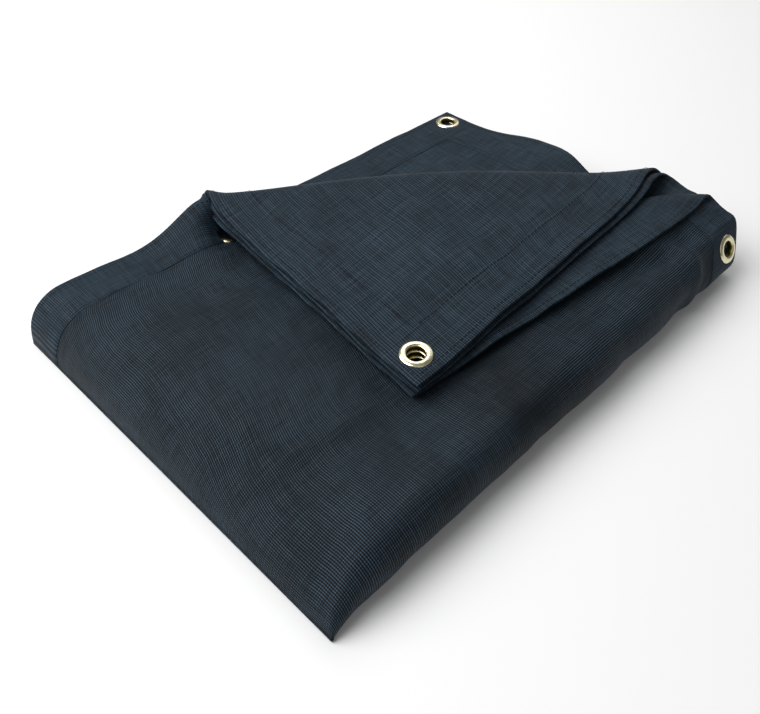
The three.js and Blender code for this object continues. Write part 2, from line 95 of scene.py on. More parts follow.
# The left side is a fold whose slope is steep at the far end and long at the near end
LEFT_FOLD_RADIUS = 1.2
SLOPE_FAR = 28.0
SLOPE_NEAR = 78.0
INNER_START_FAR = -188.0
INNER_START_NEAR = -166.0

# Ridge of the turned-back corners
TUCK_LEFT = 17.0
TUCK_REACH = 42.0
TUCK_LENGTH = 60.0
FULLNESS = 0.3
LIFT = {"x": 222.0, "y": -95.0, "high": 9.0, "long": 62.0, "wide": 95.0}
LEVEL_BEFORE_TURN = 30.0
SLOPE_PASSES = 8
LEFT_LIFT = {
    "high": 24.0, "long": 30.0, "wide": 28.0,
    "level_x": -55.1, "level_y": 126.6, "level_radius": 11.0, "level_fade": 22.0,
}
RIGHT_LIFT = {"x": 226.0, "y": -103.0, "turn": 0, "long": 60.0, "wide": 21.0, "high": 7.5}
END_ROOM = 2.0
TURN_SOFTNESS = 0.3
END_REACH = 48.0

# Layers from the surface up, by the height of their middle
LAYER_ROWS = (
    {"name": "bottom", "height": 0.6, "right": 206, "far": 0},
    {"name": "inner 1", "height": 3.8, "right": 203, "near": -134, "far": 0},
    {"name": "inner 2", "height": 7.0, "right": 206, "near": -136, "far": 4},
    {"name": "inner 3", "height": 10.2, "right": 204, "near": -133, "far": 4.5},
    {"name": "inner 4", "height": 13.4, "right": 208, "near": -135, "far": 2},
    {"name": "inner 5", "height": 16.6, "right": 206, "near": -134, "far": 2.5},
    {"name": "inner 6", "height": 19.8, "right": 210, "near": -136, "far": 5},
    {"name": "inner 7", "height": 23.0, "right": 212, "near": -134, "far": 5.5},
    {"name": "fourth", "height": 26.3, "right": 221, "near": -134, "far": 1.5, "bow": 14},
    {"name": "third", "height": 29.6, "right": 226, "near": -134, "far": 1, "axis_height": 46,
     "start": (-57, 145), "end": (216, -87), "tuck_right": 24, "landing": (-75.5, -90.5, 48.8)},
    {"name": "second", "height": 33.4, "right": 228, "near": -134, "far": 0.5, "axis_height": 46,
     "start": (-57, 145), "end": (216, -89), "tuck_right": 24, "landing": (-75.2, -90.2, 43.3)},
    {"name": "top", "height": 37.6, "right": 230, "far": 0, "axis_height": 45,
     "start": (-57, 145), "end": (216, -116), "tuck_right": 14, "landing": (-76.2, -87.6, 38.2)},
)

# Soft unevenness of the whole bundle, as a share of its height
SWELLS = table(
    ("at", "x", "y", "turn", "long", "wide", "share"),
    ("hollow under the loose corner", -66, -82, 0, 62, 48, -0.085),
    ("trough across the left part", -120, -10, 52, 105, 26, -0.07),
    ("trough near the near corner", -118, -100, 25, 60, 24, -0.06),
    ("swell beside the near fold", 30, -128, 2, 90, 16, 0.05),
    ("swell by the left hem", -150, 95, 8, 60, 24, 0.04),
    ("hollow behind the ridge", 120, 90, -42, 80, 28, -0.08),
    ("swell on the far right edge", 216, 40, 84, 44, 36, 0.2),
)

# Creases pressed into the cloth by folding, in millimetres of height
CREASES = table(
    ("at", "x", "y", "turn", "long", "wide", "high"),
    ("long trough below the left part", -150, -48, -6, 38, 10, -2.4),
    ("trough towards the loose corner", -120, -86, -7, 54, 12, -2.6),
    ("swell between the troughs", -140, -67, -7, 48, 8, 1.6),
    ("crest along the near fold", 70, -136, 0, 110, 5, 1.5),
    ("hollow behind the crest", 138, -123, -8, 34, 7, -3.6),
    ("swell behind the hollow", 152, -108, -14, 30, 7, 2.6),
    ("pinch by the right hem", 166, -130, -58, 20, 5, 2.0),
    ("trough by the right hem", 175, -118, -70, 34, 8, -1.6),
    ("swell beside the ridge", 228, 10, 90, 26, 26, 9.0),
    ("old fold line across the left", -128, 46, 90, 90, 7, 0.6),
    ("trough along the left edge", -176, 10, 84, 80, 12, -1.6),
    ("swell below the left hem", -150, 62, -14, 52, 9, 1.7),
    ("dent in the near fold, middle", 62, -142, 62, 22, 8, -1.2),
    ("dent in the near fold, left", -34, -146, 74, 22, 9, -1.0),
    ("gathers near the near corner", -158, -128, 38, 44, 6, 1.5),
    ("gathers near the near corner, outer", -176, -112, 52, 40, 7, -1.4),
)

# Soft waves on the turned-back corners, by developed place: along the ridge and past it
FLAP_WAVES = table(
    ("at", "along", "past", "turn", "long", "wide", "high"),
    ("swell across the flap", 165, 60, 64, 90, 17, 1.8),
    ("trough across the flap", 205, 58, 60, 90, 15, -1.8),
    ("swell on the right of the flap", 250, 40, 48, 80, 14, 0.9),
    ("trough beside the left edge", 112, 62, 86, 80, 13, -0.8),
    ("dent by the loose corner", 158, 128, 20, 30, 12, -0.7),
)

# Fine unevenness that the whole cloth has: waves by direction, length, height and phase
RIPPLES = table(
    ("turn", "length", "high", "phase"),
    (8, 71, 0.3, 0.4),
    (63, 53, 0.28, 2.1),
    (117, 38, 0.2, 4.0),
    (151, 29, 0.14, 1.3),
    (34, 22, 0.09, 5.2),
    (96, 17, 0.06, 3.3),
)

RIPPLE_BEND = 6.0
RIPPLE_BEND_RATE = 0.021
FLAP_WAVES_OVER = 40.0

# The right hem lies flat over the big near fold between these angles, where its grommet sits
FLAT_UPPER_ANGLE = 66.0
FLAT_LOWER_ANGLE = -11.2
FLAT_FROM_X = 160.0
FLAT_FULL_X = 190.0
FLAT_STEEPEST = 82.0
CORNER_SOFTNESS = 14.0
HEM_LAST_ANGLE = -72.0
FOLD_WAVE_Y = -122.0
FOLD_WAVE_REACH = 14.0
FOLD_WAVE_FROM = 4.0
FOLD_WAVE_OVER = 8.0
FOLD_WAVE_SHARE = 0.6
SQUEEZE_FROM_X = 100.0
INNER_REACH = 17.0
INNER_REACH_FROM_Y = -90.0
INNER_REACH_OVER = 36.0
INNER_NEAR_REACH = 9.0
INNER_NEAR_FROM_X = 180.0
INNER_NEAR_OVER = 18.0

# Lattice steps of the fine surfaces
FINE_STEP = 3.0
TURNED_STEP = 4.0
PLAIN_STEP = 6.0
COARSE_STEP = 12.0
EDGE_CROWDING = 8.0
FOLD_STEPS = 26
SMALL_FOLD_STEPS = 5
SMALL_FOLD_BULGE = 1.7
SMALL_FOLD_LENGTH = 5.0
HEM_OVERLAP = 3.0

# Rounded edges of a hem: distance from the edge and share of the full thickness
HEM_ROUNDING = ((0.0, 0.3), (0.35, 0.72), (1.1, 1.0))

# Room round a grommet, and how the hem lies flush beside its flange
CUT_RADIUS = 9.4
CUT_DEPTH = 6.0
FLANGE_ROOM = 12.0
FLUSH_SHARE = 0.85
FLUSH_FROM = 12.0
FLUSH_OVER = 12.0

# Stitches: two rows in each hem, by their distance from its inner edge
STITCH_ROWS = (3.0, 31.0)
STITCH_PITCH = 3.8
STITCH_LENGTH = 2.7
STITCH_WIDTH = 0.5
STITCH_SIDES = 5
STITCH_HIGH = 0.4
STITCH_RISE = 0.1
STITCH_FROM = 0.03
STITCH_TO = 1.9
STITCH_SIDEWAYS = 0.02

# Rings of a stitch, as shares: place along it, size and height
STITCH_RINGS = (
    (-1.0, 0.25, -0.35), (-0.6, 0.85, 0.5), (0.0, 1.0, 0.8), (0.6, 0.85, 0.5), (1.0, 0.25, -0.35),
)

# Grommet section: radius and height from the middle of the hem, from the eye outwards
GROMMET_SECTION = (
    (5.95, 0.0), (5.96, 0.75), (6.02, 1.35), (6.25, 1.85), (6.7, 2.2), (7.4, 2.36), (8.4, 2.38),
    (9.4, 2.27), (10.2, 2.03), (10.75, 1.68), (11.0, 1.28), (10.85, 1.17), (10.3, 1.22), (7.2, 1.22),
    (7.0, 0.0),
)
GROMMET_STEPS = 56
# Faces of the eye nearer the axis than this take the darker barrel brass: painted shade inside the eye.
PAINTED_SHADE_TO_RADIUS = 6.3
GROMMETS = table(
    ("node", "layer"),
    ("grommet_top_corner", "top"),
    ("grommet_top_left", "top"),
    ("grommet_top_side", "top"),
    ("grommet_second_corner", "second"),
    ("grommet_second_pocket", "second"),
    ("grommet_third_corner", "third"),
    ("grommet_fourth_corner", "fourth"),
)
HEMS = table(
    ("node", "layer"),
    ("hem_top", "top"),
    ("hem_second", "second"),
    ("hem_third", "third"),
    ("hem_fourth", "fourth"),
)

# Looks of the two sides of the cloth. Dark is a painted shade that the gaps and the flanks of the threads
# take, and the shade sharpness narrows the yarn's full colour to the crests.
RIBBED = {
    "low_share": 0.5, "lean_from": -0.09, "lean_to": 0.05, "dark": (1, 2, 3), "roughness": 0.42,
    "relief": 1.0, "specular": 0.13, "painted_shade_sharpness": 3.0, "fineness": 1.0, "cloudiness": 1.5,
}
PLAIN = {
    "low_share": 0.75, "lean_from": -1.0, "lean_to": 1.0, "dark": (3, 4, 6), "roughness": 0.5,
    "relief": 0.8, "specular": 0.12, "painted_shade_sharpness": 2.2, "fineness": 0.87, "cloudiness": 1.0,
}

# Numbers that the knit's node group takes, with their defaults, and the knit's own sizes
KNIT_INPUTS = {
    "Rib pitch": 0.0027, "Yarn pitch": 0.0013, "Low share": 0.6, "Lean from": -1.0, "Lean to": 1.0,
    "Waviness": 0.0006,
}
BEAD_SHARE = 0.35
NOISE_MIDDLE = 0.5
WOBBLE_SCALE = 90.0
WOBBLE_DETAIL = 2.0
STREAK_SCALE = 700.0
STREAK_DETAIL = 1.0
STREAK_STRETCH = 0.06
STREAK_CONTRAST = 1.6
CLOUD_SCALE = 15.0
CLOUD_DETAIL = 4.0
GAP_ROUGHNESS = 0.25

# Looks of the thread and of the brass
THREAD = {
    "scale": 1800.0, "detail": 2.0, "dark": (6, 8, 10), "light": (24, 30, 35), "roughness": 0.6,
    "specular": 0.2,
}
FLANGE = {"bright": (240, 233, 206), "roughness": 0.16}
# The barrel, the eye's inner wall, is a darker olive copy of the brass: painted shade inside the eye.
PAINTED_SHADE_BARREL = {"dull": (96, 88, 34), "bright": (150, 140, 66), "roughness": 0.3}
SCUFFS = {"scale": 260.0, "detail": 3.0, "rougher": 0.16, "strength": 0.06, "depth": 0.00005}
SHARP_ANGLE = 38.0
BRASS_SHARP_ANGLE = 50.0
FLOOR_ROUGHNESS = 0.9
NEAREST_SEEN = 0.01
FARTHEST_SEEN = 100.0

# Camera of the photograph, and the soft studio light
CAMERA_PLACE = (-0.323, -0.306, 0.402)
CAMERA_AIM = (0.5, 0.5, -0.7071)
CAMERA_LENS = 37.9
SENSOR_WIDTH = 36.0
LIGHTS = table(
    ("name", "place", "size", "watts"),
    ("light_window", (-0.8, 0.7, 1.4), 1.7, 40.0),
    ("light_front", (-0.7, -1.2, 1.1), 1.4, 2.0),
    ("light_back", (0.8, 0.8, 1.25), 0.8, 6.0),
    ("light_right", (1.3, 0.3, 0.9), 1.0, 2.5),
)
FLOOR_HALF = 30.0


def mix(a, b, t):
    """Straight blend from a to b as t goes from 0 to 1."""
    return a + (b - a) * t


def between(t):
    """The value held from 0 to 1."""
    return np.clip(t, 0.0, 1.0)


def smooth(t):
    """Held from 0 to 1 and eased at both ends: 3 t squared minus 2 t cubed."""
    held = between(t)
    return held * held * (3.0 - 2.0 * held)


def bell(x, y, row, high):
    """A turned bell: high times e to the minus of both squared distances over its two reaches."""
    turn = math.radians(row["turn"])
    along = x * math.cos(turn) + y * math.sin(turn)
    across = y * math.cos(turn) - x * math.sin(turn)
    return high * np.exp(-((along / row["long"]) ** 2) - (across / row["wide"]) ** 2)


def far_edge(x):
    """The far side of the bundle: a straight line in plan, slightly slanted."""
    return mix(FAR_Y_LEFT, FAR_Y_RIGHT, (x - LEFT_X) / (RIGHT_X - LEFT_X))


def near_share(y):
    """0 at the near side of the bundle and 1 at its far side."""
    return between((y - NEAR_Y) / (FAR_Y_LEFT - NEAR_Y))


def fall(x, y):
    """Share of the height left near the left fold: a quarter circle over a reach that varies."""
    reach = mix(SLOPE_NEAR, SLOPE_FAR, near_share(y))
    inward = between((x - LEFT_X - LEFT_FOLD_RADIUS) / reach)
    return np.sqrt(np.maximum(0.0, 1.0 - (1.0 - inward) ** 2))


def unevenness(x, y):
    """Sum of the soft swells, as a share of the height."""
    return sum(bell(x - row["x"], y - row["y"], row, row["share"]) for row in SWELLS)


def pressed(x, y):
    """Creases and fine ripples at a plan place, in millimetres: bells plus sine waves."""
    total = sum(bell(x - row["x"], y - row["y"], row, row["high"]) for row in CREASES)
    return total + ripples(x, y)


def ripples(x, y):
    """Sum of sine waves of several directions and lengths."""
    total = np.zeros(np.broadcast(x, y).shape)
    for row in RIPPLES:
        turn = math.radians(row["turn"])
        way = x * math.cos(turn) + y * math.sin(turn)
        bent = way + RIPPLE_BEND * np.sin((x - y) * RIPPLE_BEND_RATE + row["phase"])
        total = total + row["high"] * np.sin(bent * 2 * math.pi / row["length"] + row["phase"])
    return total


def turn_of(layer):
    """Sizes of a turned-back layer, which rolls round its axis and lies down on a straight slope."""
    start = np.array(layer.start, float)
    along = np.array(layer.end, float) - start
    along /= np.linalg.norm(along)
    beyond = np.array((-along[1], along[0]))
    turn = SimpleNamespace(start=start, along=along, beyond=beyond)
    turn.radius = layer.axis_height - layer.height
    land_along, land_beyond = local(turn, layer.landing[0], layer.landing[1])
    slope = 0.0
    for _ in range(SLOPE_PASSES):
        drop = layer.height + turn.radius * (1 + math.cos(slope)) - layer.landing[2]
        run = -turn.radius * math.sin(slope) - land_beyond
        slope = math.atan2(drop, run)
    turn.slope = slope
    turn.arc = turn.radius * (math.pi + slope)
    turn.corner = local(turn, layer.right, far_edge(layer.right) - layer.far)
    turn.developed = (land_along, turn.arc + run / math.cos(slope))
    edge_slope = (FAR_Y_RIGHT - FAR_Y_LEFT) / (RIGHT_X - LEFT_X)
    rise = far_edge(start[0]) - layer.far - start[1]
    left_x = start[0] + rise / (along[1] / along[0] - edge_slope)
    turn.left_end = (left_x - start[0]) / along[0]
    turn.right_end = (layer.right - start[0]) / along[0]
    return turn


def local(turn, x, y):
    """Plan place measured along the axis of a turn and beyond it."""
    dx = x - turn.start[0]
    dy = y - turn.start[1]
    return dx * turn.along[0] + dy * turn.along[1], dx * turn.beyond[0] + dy * turn.beyond[1]


def make_layer(row):
    """A layer with every column of its table row, and the sizes of its turn if it has one."""
    layer = SimpleNamespace(near=None, bow=0.0, turn=None, start=None)
    layer.__dict__.update(row)
    if layer.start is not None:
        layer.turn = turn_of(layer)
    return layer


LAYERS = {row["name"]: make_layer(row) for row in LAYER_ROWS}
TOP = LAYERS["top"]
BOTTOM = LAYERS["bottom"]


def height_of(layer, x, y):
    """Height of a layer's middle: it falls off at the left, and follows swells and creases.

    The top and bottom layers meet at the left in a small half circle."""
    floor = np.full(np.broadcast(x, y).shape, float(BOTTOM.height))
    if layer in (TOP, BOTTOM):
        inward = between((x - LEFT_X) / LEFT_FOLD_RADIUS)
        half = LEFT_FOLD_RADIUS * np.sqrt(np.maximum(0.0, 1.0 - (1.0 - inward) ** 2))
        floor = floor + LEFT_FOLD_RADIUS + (half if layer is TOP else -half)
    if layer is BOTTOM:
        return floor
    uneven = 1.0
    if layer.turn is not None:
        uneven = between(-local(layer.turn, x, y)[1] / LEVEL_BEFORE_TURN)
    kept = fall(x, y)
    body = (layer.height - BOTTOM.height - (2 * LEFT_FOLD_RADIUS if layer is TOP else 0.0)) * kept
    pressed_share = smooth(kept) * layer.height / TOP.height
    return floor + body * (1 + uneven * unevenness(x, y)) + uneven * pressed_share * pressed(x, y)


def lift(x, y):
    """Extra height of the turned-back layers at the right end of the ridge: two bells."""
    far_x = (x - LIFT["x"]) / LIFT["wide"]
    far_y = (y - LIFT["y"]) / LIFT["long"]
    more = bell(x - RIGHT_LIFT["x"], y - RIGHT_LIFT["y"], RIGHT_LIFT, RIGHT_LIFT["high"])
    return LIFT["high"] * np.exp(-(far_x**2) - far_y**2) + more


def left_lift(turn, along, beyond, x, y):
    """Extra height where the far edge climbs into the left end of the ridge: a bell, with a
    level disc for the grommet there."""
    before = np.minimum(0.0, beyond) / LEFT_LIFT["long"]
    inwards = (along - turn.left_end) / LEFT_LIFT["wide"]
    away = np.hypot(x - LEFT_LIFT["level_x"], y - LEFT_LIFT["level_y"]) - LEFT_LIFT["level_radius"]
    return LEFT_LIFT["high"] * np.exp(-(before**2) - inwards**2) * smooth(away / LEFT_LIFT["level_fade"])


def big_fold_radius(x):
    """Half the height between the top and the bottom layer along the near side."""
    edge_y = NEAR_Y + (TOP.height - BOTTOM.height) / 2
    body = (TOP.height - BOTTOM.height - 2 * LEFT_FOLD_RADIUS) * fall(x, edge_y)
    top = BOTTOM.height + 2 * LEFT_FOLD_RADIUS * between((x - LEFT_X) / LEFT_FOLD_RADIUS)
    top = top + body * (1 + unevenness(x, edge_y)) + lift(x, edge_y)
    return np.where(x <= LEFT_X, 0.0, (top - BOTTOM.height) / 2)


def near_edge(layer, x):
    """Plan line where a layer meets its near fold. Inner layers reach further at the right."""
    if layer.near is not None:
        reach = INNER_NEAR_REACH if layer.name.startswith("inner") else 0.0
        return layer.near - reach * smooth((x - INNER_NEAR_FROM_X) / INNER_NEAR_OVER)
    return NEAR_Y + big_fold_radius(x)


def right_edge(layer, y):
    """Plan line of a layer's right edge, with its bow."""
    return layer.right + layer.bow * np.exp(-(((y - BOW_Y) / BOW_REACH) ** 2))


def far_hem_depth(layer, x):
    """Depth of the far hem in plan: less beyond the axis of the turn."""
    if layer.turn is None:
        return np.full(np.shape(x), HEM_WIDTH)
    return mix(HEM_WIDTH, TURNED_HEM_WIDTH, between((x - layer.start[0] + HEM_TAPER / 2) / HEM_TAPER))


def develop(turn, along, beyond):
    """The layer keeps its width round the axis and then narrows evenly to its corner, with a
    soft minimum in place of a bend in its edges."""
    corner_along, length = turn.developed
    share = beyond / turn.corner[1]
    rolled = turn.arc / length
    soft = rolled * TURN_SOFTNESS
    held = rolled - soft * np.logaddexp(0.0, (rolled - share) / soft)
    held = held + soft * math.log1p(math.exp(-rolled / soft)) * (1 - between(share / rolled))
    spread = 1.0 / (1.0 - held)
    narrowing = 1.0 - (1.0 - share) * spread
    return (along - share * turn.corner[0]) * spread + corner_along * narrowing, share * length


def drawn_in(layer, along, beyond):
    """How far a point is drawn in along the ridge: most at the side edges of the turned part."""
    turn = layer.turn
    corner_along, length = turn.developed
    opened = 1 - between((beyond - turn.arc) / (length - turn.arc))
    left = TUCK_LEFT * np.where(beyond < 0, np.exp(-((beyond / TUCK_REACH) ** 2)), opened)
    right = layer.tuck_right * opened * between(beyond / turn.arc)
    at_left = np.exp(-(((along - mix(corner_along, turn.left_end, opened)) / TUCK_LENGTH) ** 2))
    at_right = np.exp(-(((along - mix(corner_along, turn.right_end, opened)) / TUCK_LENGTH) ** 2))
    return left * at_left - right * at_right


def flap_waves(turn, along, beyond):
    """Soft waves of the turned part: bells on its slope, fading out towards the ridge."""
    past = beyond - turn.arc
    total = sum(bell(along - row["along"], past - row["past"], row, row["high"]) for row in FLAP_WAVES)
    return (total + ripples(along, past)) * smooth(past / FLAP_WAVES_OVER)


def roll(layer, along, beyond, height):
    """Place in space of developed coordinates: flat before the axis, then a roll of one radius
    that is fuller in its middle, then a straight slope with soft waves."""
    turn = layer.turn
    angle = between(beyond / turn.arc) * (math.pi + turn.slope)
    rest = np.maximum(0.0, beyond - turn.arc)
    middle = np.sin(math.pi * between((along - turn.left_end) / (turn.right_end - turn.left_end))) ** 2
    settled = (1 - between(rest / (turn.developed[1] - turn.arc))) ** 2
    ends = np.exp(-(((along - turn.right_end) / END_REACH) ** 2))
    radius = turn.radius * (1 + FULLNESS * middle * settled) + END_ROOM * ends * settled
    out = np.where(beyond < 0, beyond, radius * np.sin(angle) - rest * math.cos(turn.slope))
    up = radius * (1 - np.cos(angle)) - rest * math.sin(turn.slope)
    drawn = drawn_in(layer, along, beyond)
    base_x = turn.start[0] + along * turn.along[0] + np.minimum(0.0, beyond) * turn.beyond[0]
    base_y = turn.start[1] + along * turn.along[1] + np.minimum(0.0, beyond) * turn.beyond[1]
    lifted = lift(base_x, base_y) + left_lift(turn, along, beyond, base_x, base_y)
    lifted = lifted * (1 + np.cos(np.minimum(angle, math.pi))) / 2
    x = turn.start[0] + (along + drawn) * turn.along[0] + out * turn.beyond[0]
    y = turn.start[1] + (along + drawn) * turn.along[1] + out * turn.beyond[1]
    return np.stack((x, y, height + up + lifted + flap_waves(turn, along, beyond)), -1)


def place(layer, x, y):
    """Place in space of a layer's plan points: flat layers straight up, turned ones rolled."""
    height = height_of(layer, x, y)
    if layer.turn is None:
        return np.stack((x, y, height), -1)
    along, beyond = local(layer.turn, x, y)
    developed_along, developed_beyond = develop(layer.turn, along, np.maximum(beyond, 0.0))
    turned = beyond > 0
    return roll(
        layer,
        np.where(turned, developed_along, along),
        np.where(turned, developed_beyond, beyond),
        np.where(turned, layer.height, height),
    )


def big_fold(x, angles, top_edge, bottom_edge):
    """The big near fold: half circles from the top edge to the bottom edge, which go flat
    where the right hem lies over them. Each bulges by half the height times a cosine."""
    angle = np.radians(angles)[:, None]
    flat = smooth((x - FLAT_FROM_X) / (FLAT_FULL_X - FLAT_FROM_X))[None, :]
    upper = math.radians(FLAT_UPPER_ANGLE)
    lower = math.radians(FLAT_LOWER_ANGLE)
    steepest = math.radians(FLAT_STEEPEST)
    off_middle = np.clip(angle - (upper + lower) / 2, -steepest, steepest)
    chord = math.cos((upper - lower) / 2) / np.cos(off_middle)
    soft_chord = -np.logaddexp(-CORNER_SOFTNESS, -CORNER_SOFTNESS * chord) / CORNER_SOFTNESS
    reach = mix(1.0, soft_chord, flat)
    half = (top_edge[:, 2] - bottom_edge[:, 2])[None, :] / 2
    share = (1 + reach * np.sin(angle)) / 2
    points = mix(bottom_edge[None, :, :], top_edge[None, :, :], share[..., None])
    waved = np.cos(angle) ** 2 * smooth((half - FOLD_WAVE_FROM) / FOLD_WAVE_OVER)
    wave = pressed(x, FOLD_WAVE_Y + angle * FOLD_WAVE_REACH) * waved
    points[..., 1] -= (half + FOLD_WAVE_SHARE * wave) * reach * np.cos(angle)
    return points


def crowded(length, step):
    """Distances from an edge that lie close together beside it and then step evenly."""
    steps = int(round(length / step))
    count = np.arange(steps + 1)
    raw = np.sqrt(count**2 + EDGE_CROWDING**2) - EDGE_CROWDING
    return raw * length / raw[-1]


def even(start, end, step):
    """Evenly spaced values from start to end, about a step apart."""
    return np.linspace(start, end, max(2, int(round(abs(end - start) / step)) + 1))


def layer_lattice(layer, columns, rows):
    """Plan lattice of a layer. Columns run from the left, and are a place in millimetres up to
    the hem line and a share of the hem beyond it. Rows do the same from the near edge."""
    column, row = np.meshgrid(columns, rows)
    outer = layer in (TOP, BOTTOM)
    hem_line = layer.right - HEM_WIDTH
    rough_y = mix(NEAR_Y, FAR_Y_LEFT, between(row))
    start = LEFT_X if outer else mix(INNER_START_NEAR, INNER_START_FAR, near_share(rough_y))
    inside = mix(start, hem_line, between(column))
    x = inside + np.maximum(0.0, column - 1) * (right_edge(layer, rough_y) - hem_line)
    far = far_edge(x) - layer.far
    depth = far_hem_depth(layer, x)
    inside_y = mix(near_edge(layer, x), far - depth, between(row))
    return x, inside_y + np.maximum(0.0, row - 1) * depth


def hem_shares(depth):
    """Shares of a hem's width from its inner to its outer edge, close together at both."""
    near = np.array([distance for distance, _ in HEM_ROUNDING])
    middle = even(near[-1], depth - near[-1], FINE_STEP)
    return np.concatenate((near[:-1], middle, depth - near[:-1][::-1])) / depth


def rounding(distance):
    """Share of the full thickness at a distance from a folded edge, which is rounded."""
    steps, shares = np.array(HEM_ROUNDING).T
    return np.interp(distance, steps, shares)


def surface_normals(points):
    """Unit normals of a grid: the cross product of its two central differences."""
    across = np.gradient(points, axis=1)
    down = np.gradient(points, axis=0)
    normals = np.cross(across, down)
    size = np.linalg.norm(normals, axis=-1, keepdims=True)
    return normals / np.maximum(size, TINY)


def grid(points, cloth_place, thickness, faces=None, sides=(0, 1)):
    """One sheet of cloth as a grid: its middle, its cloth places, thickness and kept cells."""
    rows, columns = points.shape[:2]
    keep = np.ones((rows - 1, columns - 1), bool) if faces is None else faces
    return SimpleNamespace(
        points=points,
        uv=cloth_place,
        half=np.broadcast_to(thickness, (rows, columns)) / 2,
        keep=keep,
        sides=sides,
    )


def closed_sheet(name, grids, materials):
    """A mesh with both faces half a thickness from each grid's middle, and closed rims.

    An edge that only one kept cell uses is an edge of the cloth, and gets a rim."""
    vertices = []
    faces = []
    uvs = []
    slots = []
    offset = 0
    for one in grids:
        rows, columns = one.points.shape[:2]
        total = rows * columns
        normal = surface_normals(one.points) * one.half[..., None]
        index = np.arange(total).reshape(rows, columns)
        cells = np.stack((index[:-1, :-1], index[:-1, 1:], index[1:, 1:], index[1:, :-1]), -1)[one.keep]
        edges = np.stack((cells, np.roll(cells, -1, axis=1)), -1).reshape(-1, 2)
        keys = edges.min(1) * total + edges.max(1)
        _, first, uses = np.unique(keys, return_index=True, return_counts=True)
        rim = edges[first[uses == 1]]
        rims = np.stack((rim[:, 1], rim[:, 0], rim[:, 0] + total, rim[:, 1] + total), -1)
        both = np.concatenate((cells, cells[:, ::-1] + total, rims))
        used = np.unique(both)
        renumber = np.full(2 * total, -1)
        renumber[used] = np.arange(len(used))
        shell = np.concatenate(((one.points + normal).reshape(-1, 3), (one.points - normal).reshape(-1, 3)))
        place_on_cloth = np.concatenate((one.uv.reshape(-1, 2), one.uv.reshape(-1, 2)))
        vertices.append(shell[used])
        uvs.append(place_on_cloth[used])
        faces.append(renumber[both] + offset)
        upper, lower = one.sides
        slots.append(np.repeat((upper, lower, lower), (len(cells), len(cells), len(rims))))
        offset += len(used)
    return mesh_object(name, np.concatenate(vertices), np.concatenate(faces), materials,
                       np.concatenate(uvs), np.concatenate(slots))


def mesh_object(name, vertices, faces, materials, uvs=None, slots=None, sharp=SHARP_ANGLE):
    """Puts millimetre points and four-sided faces into a smooth mesh object at the origin."""
    mesh = bpy.data.meshes.new(name)
    mesh.from_pydata((vertices * MM).tolist(), [], faces.tolist())
    if uvs is not None:
        layer = mesh.uv_layers.new(name="cloth")
        layer.data.foreach_set("uv", (uvs[faces.reshape(-1)] * MM).reshape(-1).astype(np.float32))
    for material in materials:
        mesh.materials.append(material)
    if slots is not None:
        mesh.polygons.foreach_set("material_index", slots.astype(np.int32))
    mesh.polygons.foreach_set("use_smooth", np.ones(len(faces), bool))
    mesh.set_sharp_from_angle(angle=math.radians(sharp))
    mesh.update()
    return linked(name, mesh)


def linked(name, data):
    """A new object with this data, linked to the scene."""
    thing = bpy.data.objects.new(name, data)
    bpy.context.scene.collection.objects.link(thing)
    return thing


def linear(red, green, blue):
    """A colour given as on screen, from 0 to 255, as linear light."""
    light = []
    for value in (red, green, blue):
        share = value / SCREEN_FULL
        if value <= SCREEN_STRAIGHT_TO:
            light.append(share / SCREEN_SLOPE)
        else:
            light.append(((share + SCREEN_OFFSET) / (1 + SCREEN_OFFSET)) ** SCREEN_POWER)
    return (*light, 1.0)


def set_input(tree, socket, value):
    """Links another node's output to an input, or gives the input a plain value."""
    if isinstance(value, bpy.types.NodeSocket):
        tree.links.new(value, socket)
    else:
        socket.default_value = value


def connect(tree, node, inputs):
    """Fills a node's inputs by their labels, and returns the node."""
    for label, value in inputs.items():
        set_input(tree, node.inputs[label], value)
    return node


def math_node(tree, operation, *values):
    """A Math node of a tree, with numbers or other nodes' outputs as its inputs."""
    node = tree.nodes.new("ShaderNodeMath")
    node.operation = operation
    for socket, value in zip(node.inputs, values):
        set_input(tree, socket, value)
    return node.outputs[0]


def noise(tree, spot, scale, detail):
    """Noise of a scale and a detail, read at a place."""
    node = tree.nodes.new("ShaderNodeTexNoise")
    return connect(tree, node, {"Vector": spot, "Scale": scale, "Detail": detail}).outputs["Fac"]


def mixed_colour(tree, factor, first, second):
    """A colour that goes from the first to the second as the factor goes from 0 to 1."""
    node = tree.nodes.new("ShaderNodeMix")
    node.data_type = "RGBA"
    return connect(tree, node, {"A": first, "B": second, "Factor": factor}).outputs["Result"]


def relief(tree, height, strength, depth):
    """Normals of a surface that a pattern raises by a depth."""
    node = tree.nodes.new("ShaderNodeBump")
    connect(tree, node, {"Height": height, "Strength": strength, "Distance": depth})
    return node.outputs["Normal"]


def new_material(name):
    """A material, its node tree and its Principled shader."""
    material = bpy.data.materials.new(name)
    material.use_nodes = True
    return material, material.node_tree, material.node_tree.nodes["Principled BSDF"]


